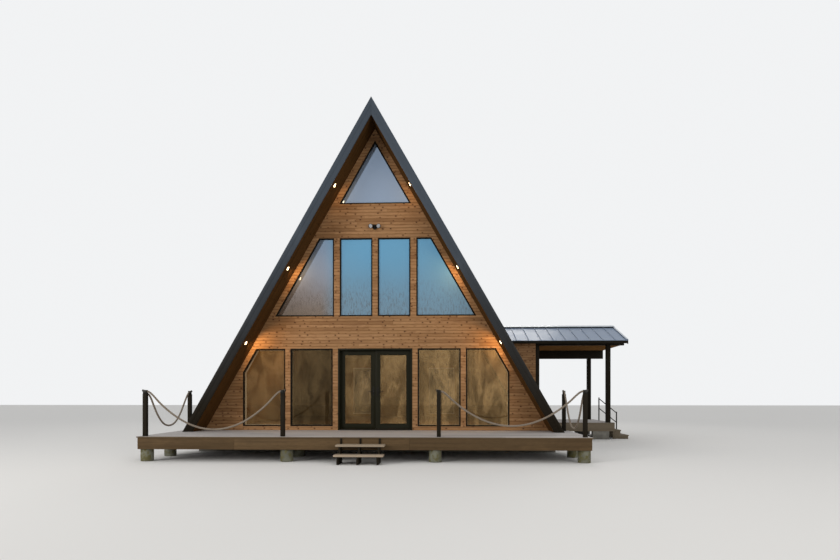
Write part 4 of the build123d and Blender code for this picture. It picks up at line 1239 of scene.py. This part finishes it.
class CABIN_OT_porch(Step):
    """Covered entry: roof metal, fascia, beams, posts, landing, steps, rail, door and corner trim"""

    bl_idname = "cabin.porch"
    bl_label = "Porch"

    def on_slope(self, name, side, low, high):
        """A strip on one slope: X along the ridge, then down the slope, then up from the seams."""
        strip = block(name, low, high, 0.001)
        strip.rotation_euler.x = -side * PORCH_PITCH
        strip.location = (0, PORCH_RIDGE.y, PORCH_RIDGE.z)
        strip.scale.y = side
        settle()
        if side < 0:
            edit(strip)
            bpy.ops.mesh.flip_normals()
            close()
        return strip

    def trims(self):
        """Ridge cap on dark closures, black foam that partly stands in as painted shade under the cap,
        and an angle over the ends of the slopes.
        """
        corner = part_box("porch_roof_metal")[1]
        inner, outer = 2.80, corner.x
        edge = (corner.y - PORCH_RIDGE.y) / math.cos(PORCH_PITCH)
        sheet, seam, wide = 0.004, 0.020, 0.06
        past = outer + sheet
        pale, dark = [], []
        for side in (-1, 1):
            for name, low, high in (
                ("cap", (inner, 0, seam), (outer, 0.18, seam + sheet)),
                ("angle", (outer - wide, 0.16, 0), (past, edge, sheet)),
                ("angle", (outer, 0, -wide), (past, edge, 0)),
            ):
                pale.append(self.on_slope(name, side, low, high))
            # Dark closures under the cap: black foam, and partly painted shade below the raised cap
            dark.append(self.on_slope("closure", side, (inner, 0.10, -0.024), (outer - 0.01, 0.17, seam)))
        done(together("porch_cap_and_angles", pale), "porch_trim", "porch_roof")
        done(together("porch_closures_and_shade", dark), "fittings", "porch_roof")

    def corner(self):
        """Trim on the entry's outer front corner, one board on each face."""
        low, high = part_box("entry_wall_outer")
        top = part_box("entry_wall_front")[1].z - 0.06
        wide, thick, bevel = 0.11, 0.014, 0.002
        x, y, past = high.x, low.y, high.x + thick
        boards = [block("corner", (x - wide, y - thick, DECK_TOP), (past, y, top), bevel),
                  block("corner", (x, y, DECK_TOP), (past, y + wide, top), bevel)]
        done(together("entry_corner_trim", boards), "post", "dark_post")

    def make(self):
        size = sizes()
        soften("porch_metal", "porch_roof_metal", "porch_roof", "porch_roof", 0.0015, 1)
        self.trims()
        piece = lay_boards("porch_ceiling_boards", ("porch_ceiling",), -Z, X, size.soffit_pitch,
                           start=4.91, lift=0.0, thick=0.0005, chamfer=size.groove, seed=52,
                           lengths=(1.8, 3.2))
        done(piece, "ceiling", "porch_soffit")
        soften("porch_ceiling_eased", "porch_ceiling", "ceiling", "porch_soffit", grain=(Y, Z, 53))
        soften("porch_edges", "porch_fascia", "beam", "dark_post")
        soften("porch_beams_eased", "porch_beams", "beam", "dark_post", 0.004)
        soften("porch_posts_eased", "porch_posts", "post", "dark_post", 0.005)
        piece = lay_boards("porch_planks", ("porch_floor",), Z, X, size.deck_pitch, start=4.6,
                           lift=0.0, thick=0.0005, chamfer=0.002, seed=51, lengths=(4.0, 5.0),
                           gap=size.deck_gap)
        done(piece, "deck", "deck_boards")
        soften("porch_rims", "porch_floor", "landing", "deck_boards")
        soften("porch_blocks_eased", "porch_blocks", "concrete", "concrete", 0.008)
        soften("porch_steps_eased", "porch_steps", "landing", "step_boards", 0.004)
        soften("porch_rail", "porch_handrail", "fittings", "dark_metal", 0.006, 3)
        soften("side_door", "entry_door", "door", "door_paint")
        self.corner()


class CABIN_OT_carried(Step):
    """Finishes of the solids that are shown as they are"""

    bl_idname = "cabin.carried"
    bl_label = "Carried solids"

    def make(self):
        for finish, nodes in {
            "concrete": ("foundation_walls",),
            "floor": ("ground_floor",),
            "inside": ("loft_floor", "roof_left", "roof_right_front", "roof_right_rear",
                       "roof_right_over_entry", "porch_roof_deck", "back_wall"),
            "glass": ("window_glass", "door_glass_left", "door_glass_right"),
            "timber": ("front_wall_left", "front_wall_right", "front_wall_upper",
                       "entry_wall_front", "entry_wall_rear", "entry_wall_outer"),
        }.items():
            for node in nodes:
                mesh = NODES[node].data
                mesh.materials.clear()
                mesh.materials.append(FINISHES[finish])


class CABIN_PT_panel(bpy.types.Panel):
    """Sizes, colours and steps of the cabin"""

    bl_label = "Cabin"
    bl_idname = "CABIN_PT_panel"
    bl_space_type = "VIEW_3D"
    bl_region_type = "UI"
    bl_category = "Cabin"

    def draw(self, context):
        for group in (context.scene.cabin_sizes, context.scene.cabin_colours):
            for key in group.__annotations__:
                self.layout.prop(group, key)
        for step in STEPS:
            self.layout.operator(step.bl_idname)


STEPS = (CABIN_OT_stage, CABIN_OT_ropes, CABIN_OT_siding, CABIN_OT_soffit, CABIN_OT_roof,
         CABIN_OT_windows, CABIN_OT_doors, CABIN_OT_deck, CABIN_OT_steps, CABIN_OT_lights,
         CABIN_OT_porch, CABIN_OT_carried)
CLASSES = (CabinSizes, CabinColours, *STEPS, CABIN_PT_panel)


def register():
    """Register the classes, and give the scene its sizes and colours."""
    for item in CLASSES:
        bpy.utils.register_class(item)
    bpy.types.Scene.cabin_sizes = PointerProperty(type=CabinSizes)
    bpy.types.Scene.cabin_colours = PointerProperty(type=CabinColours)


def unregister():
    """Take back what register gave."""
    del bpy.types.Scene.cabin_sizes
    del bpy.types.Scene.cabin_colours
    for item in reversed(CLASSES):
        bpy.utils.unregister_class(item)


def main():
    """Make the whole cabin."""
    register()
    for step in STEPS:
        group, name = step.bl_idname.split(".")
        getattr(getattr(bpy.ops, group), name)()
    focus()
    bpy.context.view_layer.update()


if __name__ == "__main__":
    main()
